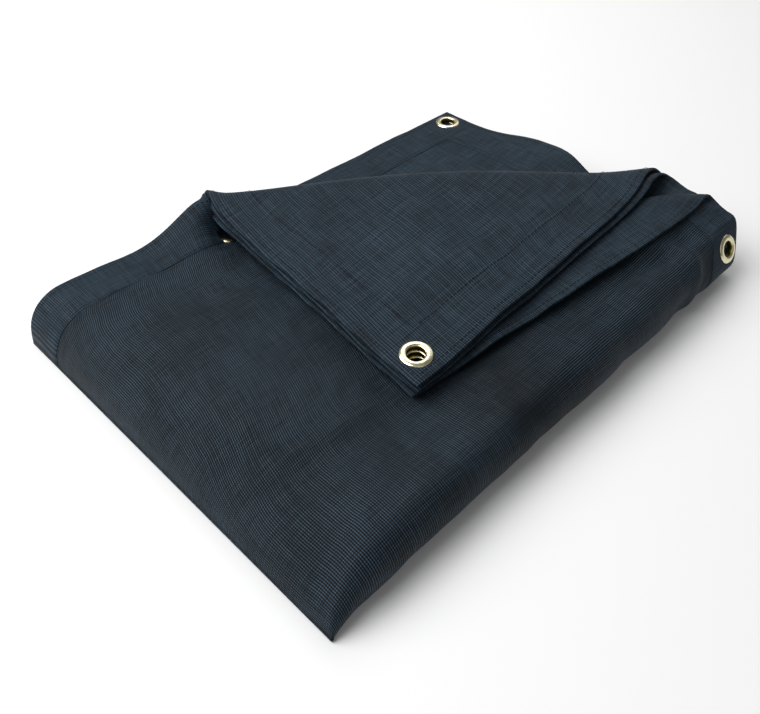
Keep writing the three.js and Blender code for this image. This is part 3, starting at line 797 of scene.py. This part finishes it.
def knit_group():
    """Node group of the knit: ribs one way, cross yarns the other, both slightly wavy.

    Height is the higher of a beaded rib and a beaded cross yarn. Ribs stand out at the left of
    the cloth and cross yarns at its right. Gap is the holes between, and Threads is about 1
    and varies from one yarn to the next, in long streaks both ways."""
    tree = bpy.data.node_groups.new("Knit", "ShaderNodeTree")
    tree.interface.new_socket(name="Cloth place", in_out="INPUT", socket_type="NodeSocketVector")
    for label, value in KNIT_INPUTS.items():
        socket = tree.interface.new_socket(name=label, in_out="INPUT", socket_type="NodeSocketFloat")
        socket.default_value = value
    for label in ("Height", "Gap", "Threads"):
        tree.interface.new_socket(name=label, in_out="OUTPUT", socket_type="NodeSocketFloat")
    given = tree.nodes.new("NodeGroupInput").outputs
    cloth_place = given["Cloth place"]
    wobble = noise(tree, cloth_place, WOBBLE_SCALE, WOBBLE_DETAIL)
    centred = math_node(tree, "SUBTRACT", wobble, NOISE_MIDDLE)
    shift = math_node(tree, "MULTIPLY", centred, given["Waviness"])
    split = connect(tree, tree.nodes.new("ShaderNodeSeparateXYZ"), {"Vector": cloth_place})
    rib = round_wave(tree, split.outputs["X"], shift, given["Rib pitch"])
    yarn = round_wave(tree, split.outputs["Y"], shift, given["Yarn pitch"])
    # The lean also sets which threads keep the full yarn colour: ribs at the left, cross yarns at the
    # right. In the colour this is a painted highlight by place, in the relief a real bump.
    lean = tree.nodes.new("ShaderNodeMapRange")
    lean.interpolation_type = "SMOOTHSTEP"
    ends = {"From Min": given["Lean from"], "From Max": given["Lean to"]}
    connect(tree, lean, {"Value": split.outputs["X"], **ends})
    lowering = math_node(tree, "SUBTRACT", 1.0, given["Low share"])
    leaned = math_node(tree, "MULTIPLY", lean.outputs["Result"], lowering)
    rib_weight = math_node(tree, "SUBTRACT", 1.0, leaned)
    yarn_weight = math_node(tree, "ADD", given["Low share"], leaned)
    beaded_rib = math_node(tree, "MULTIPLY", beaded(tree, rib, yarn), rib_weight)
    beaded_yarn = math_node(tree, "MULTIPLY", beaded(tree, yarn, rib), yarn_weight)
    height = math_node(tree, "MAXIMUM", beaded_rib, beaded_yarn)
    gap = math_node(tree, "SUBTRACT", 1.0, height)
    rib_streaks = streaks(tree, cloth_place, (1.0, STREAK_STRETCH, 1.0))
    yarn_streaks = streaks(tree, cloth_place, (STREAK_STRETCH, 1.0, 1.0))
    threads = math_node(tree, "ADD", rib_streaks, yarn_streaks)
    result = tree.nodes.new("NodeGroupOutput")
    connect(tree, result, {"Height": height, "Gap": gap, "Threads": threads})
    return tree


def beaded(tree, thread, crossing):
    """A thread that is a little lower between the threads that cross it."""
    beads = math_node(tree, "MULTIPLY_ADD", crossing, BEAD_SHARE, 1 - BEAD_SHARE)
    return math_node(tree, "MULTIPLY", thread, beads)


def streaks(tree, cloth_place, stretch):
    """Noise stretched along one way of the cloth, so that each yarn has a tone of its own."""
    scaled = tree.nodes.new("ShaderNodeVectorMath")
    scaled.operation = "MULTIPLY"
    for socket, value in zip(scaled.inputs, (cloth_place, stretch)):
        set_input(tree, socket, value)
    return noise(tree, scaled.outputs[0], STREAK_SCALE, STREAK_DETAIL)


def round_wave(tree, place_on_cloth, shift, pitch):
    """The absolute sine of the shifted place over its pitch: a row of round threads."""
    moved = math_node(tree, "ADD", place_on_cloth, shift)
    turns = math_node(tree, "DIVIDE", moved, pitch)
    angle = math_node(tree, "MULTIPLY", turns, math.pi)
    wave = math_node(tree, "SINE", angle)
    return math_node(tree, "ABSOLUTE", wave)


def cloth_material(name, settings, look):
    """A knitted cloth: ribs and yarns raise the surface, and the gaps between them are dark.

    Broad cloudiness shifts the colour a little, and crests are smoother than gaps."""
    material, tree, shader = new_material(name)
    uv = tree.nodes.new("ShaderNodeUVMap")
    uv.uv_map = "cloth"
    knit = tree.nodes.new("ShaderNodeGroup")
    knit.node_tree = bpy.data.node_groups.get("Knit") or knit_group()
    connect(tree, knit, {
        "Cloth place": uv.outputs["UV"],
        "Rib pitch": settings.rib_pitch * look["fineness"],
        "Yarn pitch": settings.yarn_pitch * look["fineness"],
        "Low share": look["low_share"],
        "Lean from": look["lean_from"],
        "Lean to": look["lean_to"],
    })
    clouds = noise(tree, uv.outputs["UV"], CLOUD_SCALE, CLOUD_DETAIL)
    cloudy = math_node(tree, "MULTIPLY_ADD", clouds, look["cloudiness"], 1 - look["cloudiness"] / 2)
    uneven = math_node(tree, "POWER", knit.outputs["Threads"], STREAK_CONTRAST)
    yarn_tone = math_node(tree, "MULTIPLY", cloudy, uneven)
    # Painted shade: the threads keep the full yarn colour only on their crests, and their flanks and the
    # gaps between them go towards the dark colour.
    painted_shading = math_node(tree, "POWER", knit.outputs["Height"], look["painted_shade_sharpness"])
    crest = math_node(tree, "MULTIPLY", painted_shading, yarn_tone)
    yarn_colour = tuple(settings.cloth_colour) + (1.0,)
    gap = knit.outputs["Gap"]
    connect(tree, shader, {
        "Base Color": mixed_colour(tree, crest, linear(*look["dark"]), yarn_colour),
        "Roughness": math_node(tree, "MULTIPLY_ADD", gap, GAP_ROUGHNESS, look["roughness"]),
        "Normal": relief(tree, knit.outputs["Height"], look["relief"], settings.knit_depth),
        "Specular IOR Level": look["specular"],
    })
    return material


def thread_material(name):
    """Dark polyester thread: twisted strands across each stitch, slightly shiny."""
    material, tree, shader = new_material(name)
    place_in_part = tree.nodes.new("ShaderNodeTexCoord").outputs["Object"]
    strands = noise(tree, place_in_part, THREAD["scale"], THREAD["detail"])
    connect(tree, shader, {
        "Base Color": mixed_colour(tree, strands, linear(*THREAD["dark"]), linear(*THREAD["light"])),
        "Roughness": THREAD["roughness"],
        "Specular IOR Level": THREAD["specular"],
    })
    return material


def brass_material(name, dull, look):
    """Brass plating: pale gold, with fine scuffs that make it rougher and duller in places."""
    material, tree, shader = new_material(name)
    place_in_part = tree.nodes.new("ShaderNodeTexCoord").outputs["Object"]
    scuffs = noise(tree, place_in_part, SCUFFS["scale"], SCUFFS["detail"])
    connect(tree, shader, {
        "Base Color": mixed_colour(tree, scuffs, dull, linear(*look["bright"])),
        "Roughness": math_node(tree, "MULTIPLY_ADD", scuffs, SCUFFS["rougher"], look["roughness"]),
        "Metallic": 1.0,
        "Normal": relief(tree, scuffs, SCUFFS["strength"], SCUFFS["depth"]),
    })
    return material


def material_named(name, make, *values):
    """The material of that name, made once."""
    return bpy.data.materials.get(name) or make(name, *values)


def ribbed_cloth(settings):
    """Right side of the knit: bright ribs over low cross yarns."""
    return material_named("Ribbed knit", cloth_material, settings, RIBBED)


def plain_cloth(settings):
    """Wrong side of the knit: an even, finer and duller grain."""
    return material_named("Plain knit", cloth_material, settings, PLAIN)


def finish_piece(piece, slot, *nodes):
    """Rides the piece on the part's one body, and hides the solids it stands for. Its slot is not used."""
    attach(piece, BODY)
    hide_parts(*nodes)
    return piece


def spots_on(layer_name):
    """Centre and axis of each grommet on a layer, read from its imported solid."""
    return [grommet_spot(row["node"]) for row in GROMMETS if row["layer"] == layer_name]


def grommet_spot(node):
    """Centre and axis of a packed grommet: the mean of its points, and their flattest way."""
    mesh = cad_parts[node].data
    points = np.empty(len(mesh.vertices) * 3, np.float32)
    mesh.vertices.foreach_get("co", points)
    points = np.unique(points.reshape(-1, 3).round(POINT_DIGITS), axis=0) / MM
    low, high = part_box(node)
    centre = np.array((low + high) / 2) / MM
    _, _, ways = np.linalg.svd(points - points.mean(0), full_matrices=False)
    axis = ways[2] * (1 if ways[2][2] >= 0 else -1)
    return centre, axis


def outside(points, spots, room):
    """True for points outside a cylinder round each grommet's axis, of this radius and as deep
    as the cut to both sides."""
    keep = np.ones(points.shape[:-1], bool)
    for centre, axis in spots:
        away = points - centre
        depth = away @ axis
        radius = np.linalg.norm(away - depth[..., None] * axis, axis=-1)
        keep &= (radius > room) | (np.abs(depth) > CUT_DEPTH)
    return keep


def clear_of_grommets(points, spots):
    """Cells of a grid that lie outside every grommet's barrel, by the place of their middle."""
    middle = (points[:-1, :-1] + points[1:, :-1] + points[:-1, 1:] + points[1:, 1:]) / 4
    return outside(middle, spots, CUT_RADIUS)


def away_from_grommets(points, spots):
    """0 beside a grommet's flange, easing to 1 away from it."""
    share = np.ones(points.shape[:2])
    for centre, _ in spots:
        distance = np.linalg.norm(points - centre, axis=-1)
        share = share * smooth((distance - FLUSH_FROM) / FLUSH_OVER)
    return share


def cloth_columns(layer, step):
    """Column shares of the cloth part, close together beside the left fold of outer layers."""
    if layer in (TOP, BOTTOM):
        width = layer.right - HEM_WIDTH - LEFT_X
        return crowded(width, step) / width
    return even(0.0, 1.0, step / (layer.right - HEM_WIDTH - INNER_START_NEAR))


def row_shares(step):
    """Row shares from the near to the far side of the bundle, about a step apart."""
    return even(0.0, 1.0, step / (FAR_Y_LEFT - NEAR_Y))


def joined_lattice(layer, step):
    """Columns and rows of a hemmed layer's cloth, a little way into both hems."""
    overlap = 1 + HEM_OVERLAP / HEM_WIDTH
    return np.append(cloth_columns(layer, step), overlap), np.append(row_shares(step), overlap)


def laid(layer, columns, rows):
    """Plan lattice of a layer, and its points in space."""
    x, y = layer_lattice(layer, columns, rows)
    return x, y, place(layer, x, y)


def cloth_grid(points, across, down, settings, sides=(1, 0)):
    """A grid of single cloth, with its places across and down the cloth."""
    cloth_place = np.stack(np.broadcast_arrays(across, down), -1)
    return grid(points, cloth_place, settings.cloth_thickness / MM, sides=sides)


def down_the_fold(x, y, angles):
    """Places down the cloth on the big near fold: the arc from its top edge to each angle."""
    half_turn = np.pi * big_fold_radius(x)[None, :]
    return y[None, :] - half_turn * (QUARTER_TURN - angles)[:, None] / HALF_TURN


def top_grids(settings):
    """The top layer, the big near fold and the bottom layer: one grid of the cloth's outside."""
    columns, rows = joined_lattice(TOP, FINE_STEP)
    x, y, top = laid(TOP, columns, rows[::-1])
    bottom_x, bottom_y = bottom_lattice(x[-1])
    bottom = place(BOTTOM, bottom_x, bottom_y)
    angles = np.linspace(QUARTER_TURN, -QUARTER_TURN, FOLD_STEPS)[1:-1]
    fold = big_fold(x[-1], angles, top[-1], bottom[0])
    fold_y = down_the_fold(x[-1], y[-1], angles)
    below = fold_y[-1][None, :] - (bottom_y - bottom_y[0])
    width = cloth_width(top)
    across = np.concatenate((width, np.repeat(width[-1:], len(angles) + len(bottom), 0)))
    points = np.concatenate((top, fold, bottom))
    return cloth_grid(points, across, np.concatenate((y, fold_y, below)), settings)


def cloth_width(points):
    """Place across the cloth: from each row's right end, less the length along its profile."""
    profile = points[..., (0, 2)]
    steps = np.linalg.norm(np.diff(profile, axis=1), axis=-1)
    to_right = np.cumsum(steps[:, ::-1], axis=1)[:, ::-1]
    end = points[:, -1:, 0]
    return np.concatenate((end - to_right, end), axis=1)


def bottom_lattice(top_x):
    """Plan lattice of the bottom layer, under the top layer's near edge, nearest row first."""
    squeeze = TOP.right - BOTTOM.right
    x_row = top_x - squeeze * smooth((top_x - SQUEEZE_FROM_X) / (TOP.right - HEM_WIDTH - SQUEEZE_FROM_X))
    rows = row_shares(COARSE_STEP)
    x = np.repeat(x_row[None, :], len(rows), 0)
    far = far_edge(x) - BOTTOM.far
    return x, mix(near_edge(TOP, x), far, rows[:, None])


def inner_grid(settings):
    """The inner layers between the bottom and the fourth one, joined by small folds.

    A small fold is a half ellipse that bulges past the two edges it joins."""
    columns = np.linspace(0.0, 1.0, int((RIGHT_X - INNER_START_NEAR) / COARSE_STEP))
    rows = row_shares(COARSE_STEP)
    parts = []
    points = []
    for count, layer in enumerate(one for one in LAYERS.values() if one.name.startswith("inner")):
        x, y = whole_lattice(layer, columns, rows[::-1] if count % 2 == 0 else rows)
        parts.append(place(layer, x, y))
        if count > 0:
            outwards = 1.0 if count % 2 == 0 else -1.0
            points.append(small_fold(parts[-2][-1], parts[-1][0], (0.0, outwards, 0.0)))
        points.append(parts[-1])
    middle = np.concatenate(points)
    steps = np.linalg.norm(np.diff(middle, axis=0), axis=-1).mean(1)
    down = np.concatenate(((0.0,), np.cumsum(steps)))
    return cloth_grid(middle, middle[..., 0], down[:, None], settings)


def whole_lattice(layer, columns, rows):
    """Plan lattice of a layer without hems: even from its left start to its right edge."""
    column, row = np.meshgrid(columns, rows)
    rough_y = mix(NEAR_Y, FAR_Y_LEFT, row)
    start = mix(INNER_START_NEAR, INNER_START_FAR, near_share(rough_y))
    reach = INNER_REACH * smooth((INNER_REACH_FROM_Y - rough_y) / INNER_REACH_OVER)
    x = mix(start, right_edge(layer, rough_y) + reach, column)
    return x, mix(near_edge(layer, x), far_edge(x) - layer.far, row)


def small_fold(edge_a, edge_b, way):
    """Half ellipse between two edges, pushed the given way by the bulge of a small fold."""
    angle = np.linspace(0, math.pi, SMALL_FOLD_STEPS + 2)[1:-1][:, None, None]
    share = (1 - np.cos(angle)) / 2
    return mix(edge_a[None], edge_b[None], share) + np.sin(angle) * SMALL_FOLD_BULGE * np.array(way)


def turned_grid(settings):
    """The third and second layers, joined by their near fold, with their turned-back corners."""
    columns, rows = joined_lattice(LAYERS["third"], TURNED_STEP)
    third_x, third_y, third = laid(LAYERS["third"], columns, rows[::-1])
    second_x, second_y, second = laid(LAYERS["second"], columns, rows)
    fold = small_fold(third[-1], second[0], (0.0, -1.0, 0.0))
    fold_y = third_y[-1:] - np.linspace(0.0, SMALL_FOLD_LENGTH, len(fold) + 2)[1:-1, None]
    across = np.concatenate((third_x, np.repeat(third_x[-1:], len(fold), 0), second_x))
    down = np.concatenate((third_y, fold_y, third_y[-1:] - SMALL_FOLD_LENGTH + second_y[:1] - second_y))
    return cloth_grid(np.concatenate((third, fold, second)), across, down, settings)


def fourth_grid(settings):
    """The fourth layer, whose far right part shows beside the turned-back corners."""
    x, y, points = laid(LAYERS["fourth"], *joined_lattice(LAYERS["fourth"], PLAIN_STEP))
    return cloth_grid(points, x, y, settings)


def left_fold_grid(settings):
    """The left fold between the fourth and third layers: half ellipses pushed to the left."""
    rows = joined_lattice(LAYERS["third"], PLAIN_STEP)[1]
    lower, upper = (laid(LAYERS[name], (0.0,), rows)[2][:, 0] for name in ("fourth", "third"))
    bend = small_fold(lower, upper, (-1.0, 0.0, 0.0))
    points = np.concatenate((lower[None], bend, upper[None])).swapaxes(0, 1)
    across = np.arange(points.shape[1]) * 1.0
    return cloth_grid(points, across, points[..., 1], settings, sides=(0, 1))


def hem_grid(layer, settings):
    """A layer's doubled hem: its far strip and right strip in one, with a square corner.

    The top layer's right strip runs on over the big near fold. The thickness is rounded off
    at the outer and the inner folded edges."""
    thickness = settings.hem_thickness / MM
    columns = np.concatenate((cloth_columns(layer, FINE_STEP)[2:-1], 1 + hem_shares(HEM_WIDTH)))
    rows = np.concatenate((row_shares(FINE_STEP)[:-1], 1 + hem_shares(HEM_WIDTH)))[::-1]
    x, y, points = laid(layer, columns, rows)
    column, row = np.meshgrid(columns, rows)
    if layer is TOP:
        bottom_x, bottom_y = bottom_lattice(x[-1])
        bottom = place(BOTTOM, bottom_x[0], bottom_y[0])
        angles = np.linspace(QUARTER_TURN, HEM_LAST_ANGLE, FOLD_STEPS)[1:]
        points = np.concatenate((points, big_fold(x[-1], angles, points[-1], bottom)))
        y = np.concatenate((y, down_the_fold(x[-1], y[-1], angles)))
        x = np.concatenate((x, np.repeat(x[-1:], len(angles), 0)))
        column = np.concatenate((column, np.repeat(column[-1:], len(angles), 0)))
        row = np.concatenate((row, np.full((len(angles), row.shape[1]), row.min())))
    hem = np.maximum(column, row) >= 1 - SHARE_ROOM
    outer_room = np.minimum(2 - column, 2 - row) * HEM_WIDTH
    inner_room = np.maximum(column - 1, row - 1) * HEM_WIDTH
    room = np.maximum(0.0, np.minimum(outer_room, inner_room))
    keep = hem[:-1, :-1] & hem[1:, :-1] & hem[:-1, 1:] & hem[1:, 1:]
    keep &= clear_of_grommets(points, spots_on(layer.name))
    if layer.turn is not None and layer is not TOP:
        step = (thickness - settings.cloth_thickness / MM) / 2
        shift = step * FLUSH_SHARE * away_from_grommets(points, spots_on(layer.name))
        points = points - surface_normals(points) * shift[..., None]
    cloth = np.stack((x, y), -1)
    return grid(points, cloth, thickness * rounding(room), keep, sides=(0, 0))


def stitch_mesh(centres, ways, normals):
    """Short rounded bars, one for each centre: rings along its way, flattened on the cloth.

    Each ring is an ellipse, with a size and a height from a short table."""
    steps, sizes, rises = np.array(STITCH_RINGS).T
    side = np.cross(ways, normals)
    turn = np.linspace(0, 2 * math.pi, STITCH_SIDES, endpoint=False)
    around = np.cos(turn)[None, :] * sizes[:, None] * STITCH_WIDTH / 2
    raised = np.sin(turn)[None, :] * sizes[:, None] * STITCH_HIGH + rises[:, None] * STITCH_RISE
    raised = raised * STITCH_WIDTH
    forward = np.repeat((steps * STITCH_LENGTH / 2)[:, None], STITCH_SIDES, 1)
    points = (centres[:, None, None, :] + forward[None, :, :, None] * ways[:, None, None, :]
              + around[None, :, :, None] * side[:, None, None, :]
              + raised[None, :, :, None] * normals[:, None, None, :])
    rings = len(STITCH_RINGS)
    index = np.arange(rings * STITCH_SIDES).reshape(rings, STITCH_SIDES)
    after = np.roll(index, -1, axis=1)
    wall = np.stack((index[:-1], after[:-1], after[1:], index[1:]), -1).reshape(-1, 4)
    one = points.reshape(len(centres), -1, 3)
    shifts = np.arange(len(centres))[:, None, None] * one.shape[1]
    walls = (wall[None] + shifts).reshape(-1, 4)
    ends = (np.stack((index[0][::-1], index[-1]))[None] + shifts).reshape(-1, STITCH_SIDES)
    return one.reshape(-1, 3), walls, ends


def at_stations(stations, reach, line):
    """Values of a line at distances along it, by straight blends between its points."""
    return np.stack([np.interp(stations, reach, line[:, axis]) for axis in range(3)], -1)


def stitch_line(layer, inset, runs_along_right, side, thickness):
    """Centres, ways and normals of stitches along one line of a hem, on one of its faces."""
    share = 1 + inset / HEM_WIDTH
    length = (FAR_Y_LEFT - NEAR_Y) if runs_along_right else (layer.right - LEFT_X)
    fine = np.linspace(STITCH_FROM, share if inset < HEM_WIDTH / 2 else STITCH_TO, int(length))
    across = STITCH_SIDEWAYS * np.array((-1, 0, 1))
    if runs_along_right:
        points = laid(layer, share + across, fine)[2]
    else:
        points = laid(layer, fine, share + across)[2].swapaxes(0, 1)[:, ::-1]
    line = points[:, 1]
    steps = np.linalg.norm(np.diff(line, axis=0), axis=1)
    reach = np.concatenate(((0.0,), np.cumsum(steps)))
    stations = np.arange(STITCH_PITCH, reach[-1] - STITCH_PITCH, STITCH_PITCH)
    centres = at_stations(stations, reach, line)
    ways = at_stations(stations + STITCH_WIDTH, reach, line) - centres
    ways /= np.linalg.norm(ways, axis=1, keepdims=True)
    normals = np.cross(at_stations(stations, reach, points[:, 2] - points[:, 0]), ways)
    normals /= np.maximum(np.linalg.norm(normals, axis=1, keepdims=True), TINY)
    normals = normals * side
    return centres + normals * thickness / 2, ways, normals


def lathe(section, spot, steps):
    """Spins a closed section round a grommet's axis: radius times cosine and sine, and height."""
    centre, axis = spot
    across = np.cross(axis, (0.0, 1.0, 0.0))
    across /= np.linalg.norm(across)
    other = np.cross(axis, across)
    upper = np.array(section)
    lower = upper[1:-1][::-1] * (1, -1)
    loop = np.concatenate((upper, lower))
    angle = np.linspace(0, 2 * math.pi, steps, endpoint=False)
    ring = np.cos(angle)[:, None, None] * across + np.sin(angle)[:, None, None] * other
    points = centre + loop[None, :, 0, None] * ring + loop[None, :, 1, None] * axis
    index = np.arange(steps * len(loop)).reshape(steps, len(loop))
    down = np.roll(index, -1, axis=0)
    faces = np.stack((index, np.roll(index, -1, axis=1), np.roll(down, -1, axis=1), down), -1)
    radii = loop[:, 0]
    # The eye's inner wall gets slot 1, the darker barrel brass: painted shade inside the eye.
    painted_shade_in_eye = np.maximum(radii, np.roll(radii, -1)) < PAINTED_SHADE_TO_RADIUS
    return points.reshape(-1, 3), faces.reshape(-1, 4)[:, ::-1], np.tile(painted_shade_in_eye, steps).astype(int)


class TarpSettings(bpy.types.PropertyGroup):
    """Sizes and colours of the cloth and its grommets."""

    cloth_thickness: bpy.props.FloatProperty(
        name="Cloth thickness", description="Thickness of the knitted cloth",
        default=0.0012, min=0.0004, max=0.003, unit="LENGTH", precision=4)
    hem_thickness: bpy.props.FloatProperty(
        name="Hem thickness", description="Thickness of a doubled hem",
        default=0.0024, min=0.001, max=0.005, unit="LENGTH", precision=4)
    rib_pitch: bpy.props.FloatProperty(
        name="Rib pitch", description="Distance from one rib of the knit to the next",
        default=0.0015, min=0.0005, max=0.01, unit="LENGTH", precision=4)
    yarn_pitch: bpy.props.FloatProperty(
        name="Yarn pitch", description="Distance between the cross yarns of the knit",
        default=0.0015, min=0.0005, max=0.01, unit="LENGTH", precision=4)
    knit_depth: bpy.props.FloatProperty(
        name="Knit depth", description="Height of the ribs above the gaps",
        default=0.0004, min=0.0, max=0.002, unit="LENGTH", precision=4)
    cloth_colour: bpy.props.FloatVectorProperty(
        name="Cloth colour", description="Colour of the yarn, as linear light",
        default=linear(56, 74, 88)[:3], min=0.0, max=1.0, subtype="COLOR")
    brass_colour: bpy.props.FloatVectorProperty(
        name="Brass colour", description="Colour of the grommets, as linear light",
        default=linear(222, 210, 162)[:3], min=0.0, max=1.0, subtype="COLOR")


class StageSettings(bpy.types.PropertyGroup):
    """Floor, light and camera."""

    floor_colour: bpy.props.FloatVectorProperty(
        name="Floor colour", description="Colour of the floor, as linear light",
        default=(0.86, 0.86, 0.86), min=0.0, max=1.0, subtype="COLOR")
    sky_strength: bpy.props.FloatProperty(
        name="Surrounding light", description="Strength of the even light from all round",
        default=0.19, min=0.0, max=4.0)
    lens: bpy.props.FloatProperty(
        name="Lens", description="Focal length of the camera in millimetres",
        default=CAMERA_LENS, min=10.0, max=200.0)


class TARP_OT_cloth(bpy.types.Operator):
    """Make the knitted cloth in its back-and-forth folds"""

    bl_idname = "tarp.cloth"
    bl_label = "Cloth"

    def execute(self, context):
        settings = context.scene.tarp
        makers = (top_grids, inner_grid, fourth_grid, left_fold_grid, turned_grid)
        grids = [make(settings) for make in makers]
        piece = closed_sheet("cloth", grids, [ribbed_cloth(settings), plain_cloth(settings)])
        finish_piece(piece, "mesh", "mesh_cloth")
        return {"FINISHED"}


class TARP_OT_hems(bpy.types.Operator):
    """Make the doubled hems of the four loose layers"""

    bl_idname = "tarp.hems"
    bl_label = "Hems"

    def execute(self, context):
        settings = context.scene.tarp
        for row in HEMS:
            strip = hem_grid(LAYERS[row["layer"]], settings)
            piece = closed_sheet("doubled_" + row["node"], [strip], [plain_cloth(settings)])
            finish_piece(piece, "hem", row["node"])
        return {"FINISHED"}


class TARP_OT_stitches(bpy.types.Operator):
    """Sew the lines of stitches along the hems"""

    bl_idname = "tarp.stitches"
    bl_label = "Stitches"

    def execute(self, context):
        settings = context.scene.tarp
        thickness = settings.hem_thickness / MM
        for row in HEMS:
            layer = LAYERS[row["layer"]]
            sewn = [stitch_line(layer, inset, right, side, thickness)
                    for inset in STITCH_ROWS for right in (True, False) for side in (1, -1)]
            centres, ways, normals = (np.concatenate(part) for part in zip(*sewn))
            keep = outside(centres, spots_on(layer.name), FLANGE_ROOM)
            points, walls, ends = stitch_mesh(centres[keep], ways[keep], normals[keep])
            piece = stitched_object("stitches_" + row["node"], points, walls, ends)
            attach(piece, BODY)
        return {"FINISHED"}


def stitched_object(name, points, walls, ends):
    """Mesh object of the stitches, whose ends have as many corners as a ring."""
    mesh = bpy.data.meshes.new(name)
    mesh.from_pydata((points * MM).tolist(), [], walls.tolist() + ends.tolist())
    mesh.materials.append(material_named("Thread", thread_material))
    mesh.polygons.foreach_set("use_smooth", np.ones(len(walls) + len(ends), bool))
    mesh.update()
    return linked(name, mesh)


class TARP_OT_grommets(bpy.types.Operator):
    """Set the brass grommets in the hems"""

    bl_idname = "tarp.grommets"
    bl_label = "Grommets"

    def execute(self, context):
        settings = context.scene.tarp
        pale = tuple(settings.brass_colour) + (1.0,)
        looks = [
            material_named("Brass", brass_material, pale, FLANGE),
            # The second look is a darker copy of the brass for the inside of each eye: painted shade.
            material_named("Brass barrel in painted shade", brass_material, linear(*PAINTED_SHADE_BARREL["dull"]), PAINTED_SHADE_BARREL),
        ]
        for row in GROMMETS:
            points, faces, inside = lathe(GROMMET_SECTION, grommet_spot(row["node"]), GROMMET_STEPS)
            name = "brass_" + row["node"]
            piece = mesh_object(name, points, faces, looks, slots=inside, sharp=BRASS_SHARP_ANGLE)
            finish_piece(piece, "brass", row["node"])
        return {"FINISHED"}


class TARP_OT_stage(bpy.types.Operator):
    """Set up the pale floor, the soft lights and the camera"""

    bl_idname = "tarp.stage"
    bl_label = "Stage"

    def execute(self, context):
        settings = context.scene.tarp_stage
        make_floor(settings)
        make_sky(context.scene, settings)
        for row in LIGHTS:
            make_light(row)
        make_camera(context.scene, settings)
        context.scene.view_settings.view_transform = "Standard"
        return {"FINISHED"}


def make_floor(settings):
    """A plain pale floor at the height the bundle rests on."""
    corners = np.array(((-1, -1, 0), (1, -1, 0), (1, 1, 0), (-1, 1, 0))) * FLOOR_HALF
    mesh = bpy.data.meshes.new("floor")
    mesh.from_pydata(corners.tolist(), [], [(0, 1, 2, 3)])
    material, _, shader = new_material("Floor")
    shader.inputs["Base Color"].default_value = tuple(settings.floor_colour) + (1.0,)
    shader.inputs["Roughness"].default_value = FLOOR_ROUGHNESS
    mesh.materials.append(material)
    floor = linked("floor", mesh)


def make_sky(scene, settings):
    """Even white light from all round."""
    world = bpy.data.worlds.new("Studio")
    world.use_nodes = True
    background = world.node_tree.nodes["Background"]
    background.inputs["Color"].default_value = (1.0, 1.0, 1.0, 1.0)
    background.inputs["Strength"].default_value = settings.sky_strength
    scene.world = world


def make_light(row):
    """A square soft light that points at the middle of the floor under the part."""
    lamp = bpy.data.lights.new(row["name"], "AREA")
    lamp.energy = row["watts"]
    lamp.size = row["size"]
    holder = linked(row["name"], lamp)
    holder.location = row["place"]
    holder.rotation_euler = (-Vector(row["place"])).to_track_quat("-Z", "Y").to_euler()


def make_camera(scene, settings):
    """The photograph's camera: its place, its way and its lens."""
    lens = bpy.data.cameras.new("camera")
    lens.lens = settings.lens
    lens.sensor_width = SENSOR_WIDTH
    lens.sensor_fit = "HORIZONTAL"
    lens.clip_start = NEAREST_SEEN
    lens.clip_end = FARTHEST_SEEN
    camera = linked("camera", lens)
    camera.location = CAMERA_PLACE
    camera.rotation_euler = Vector(CAMERA_AIM).to_track_quat("-Z", "Y").to_euler()
    scene.camera = camera


class TARP_PT_panel(bpy.types.Panel):
    """Sizes, colours and steps of the tarp."""

    bl_idname = "TARP_PT_panel"
    bl_label = "Folded mesh tarp"
    bl_space_type = "VIEW_3D"
    bl_region_type = "UI"
    bl_category = "Tarp"

    def draw(self, context):
        layout = self.layout
        for group in (context.scene.tarp, context.scene.tarp_stage):
            for name in group.__annotations__:
                layout.prop(group, name)
        for operator in OPERATORS:
            layout.operator(operator.bl_idname)


OPERATORS = (TARP_OT_cloth, TARP_OT_hems, TARP_OT_stitches, TARP_OT_grommets, TARP_OT_stage)
CLASSES = (TarpSettings, StageSettings) + OPERATORS + (TARP_PT_panel,)


def register():
    """Registers every class and adds the settings to the scene."""
    for one in CLASSES:
        bpy.utils.register_class(one)
    bpy.types.Scene.tarp = bpy.props.PointerProperty(type=TarpSettings)
    bpy.types.Scene.tarp_stage = bpy.props.PointerProperty(type=StageSettings)


def unregister():
    """Removes the settings and every class."""
    del bpy.types.Scene.tarp_stage
    del bpy.types.Scene.tarp
    for one in reversed(CLASSES):
        bpy.utils.unregister_class(one)


def main():
    """Makes every piece in order."""
    register()
    bpy.ops.tarp.cloth()
    bpy.ops.tarp.hems()
    bpy.ops.tarp.stitches()
    bpy.ops.tarp.grommets()
    bpy.ops.tarp.stage()


if __name__ == "__main__":
    main()
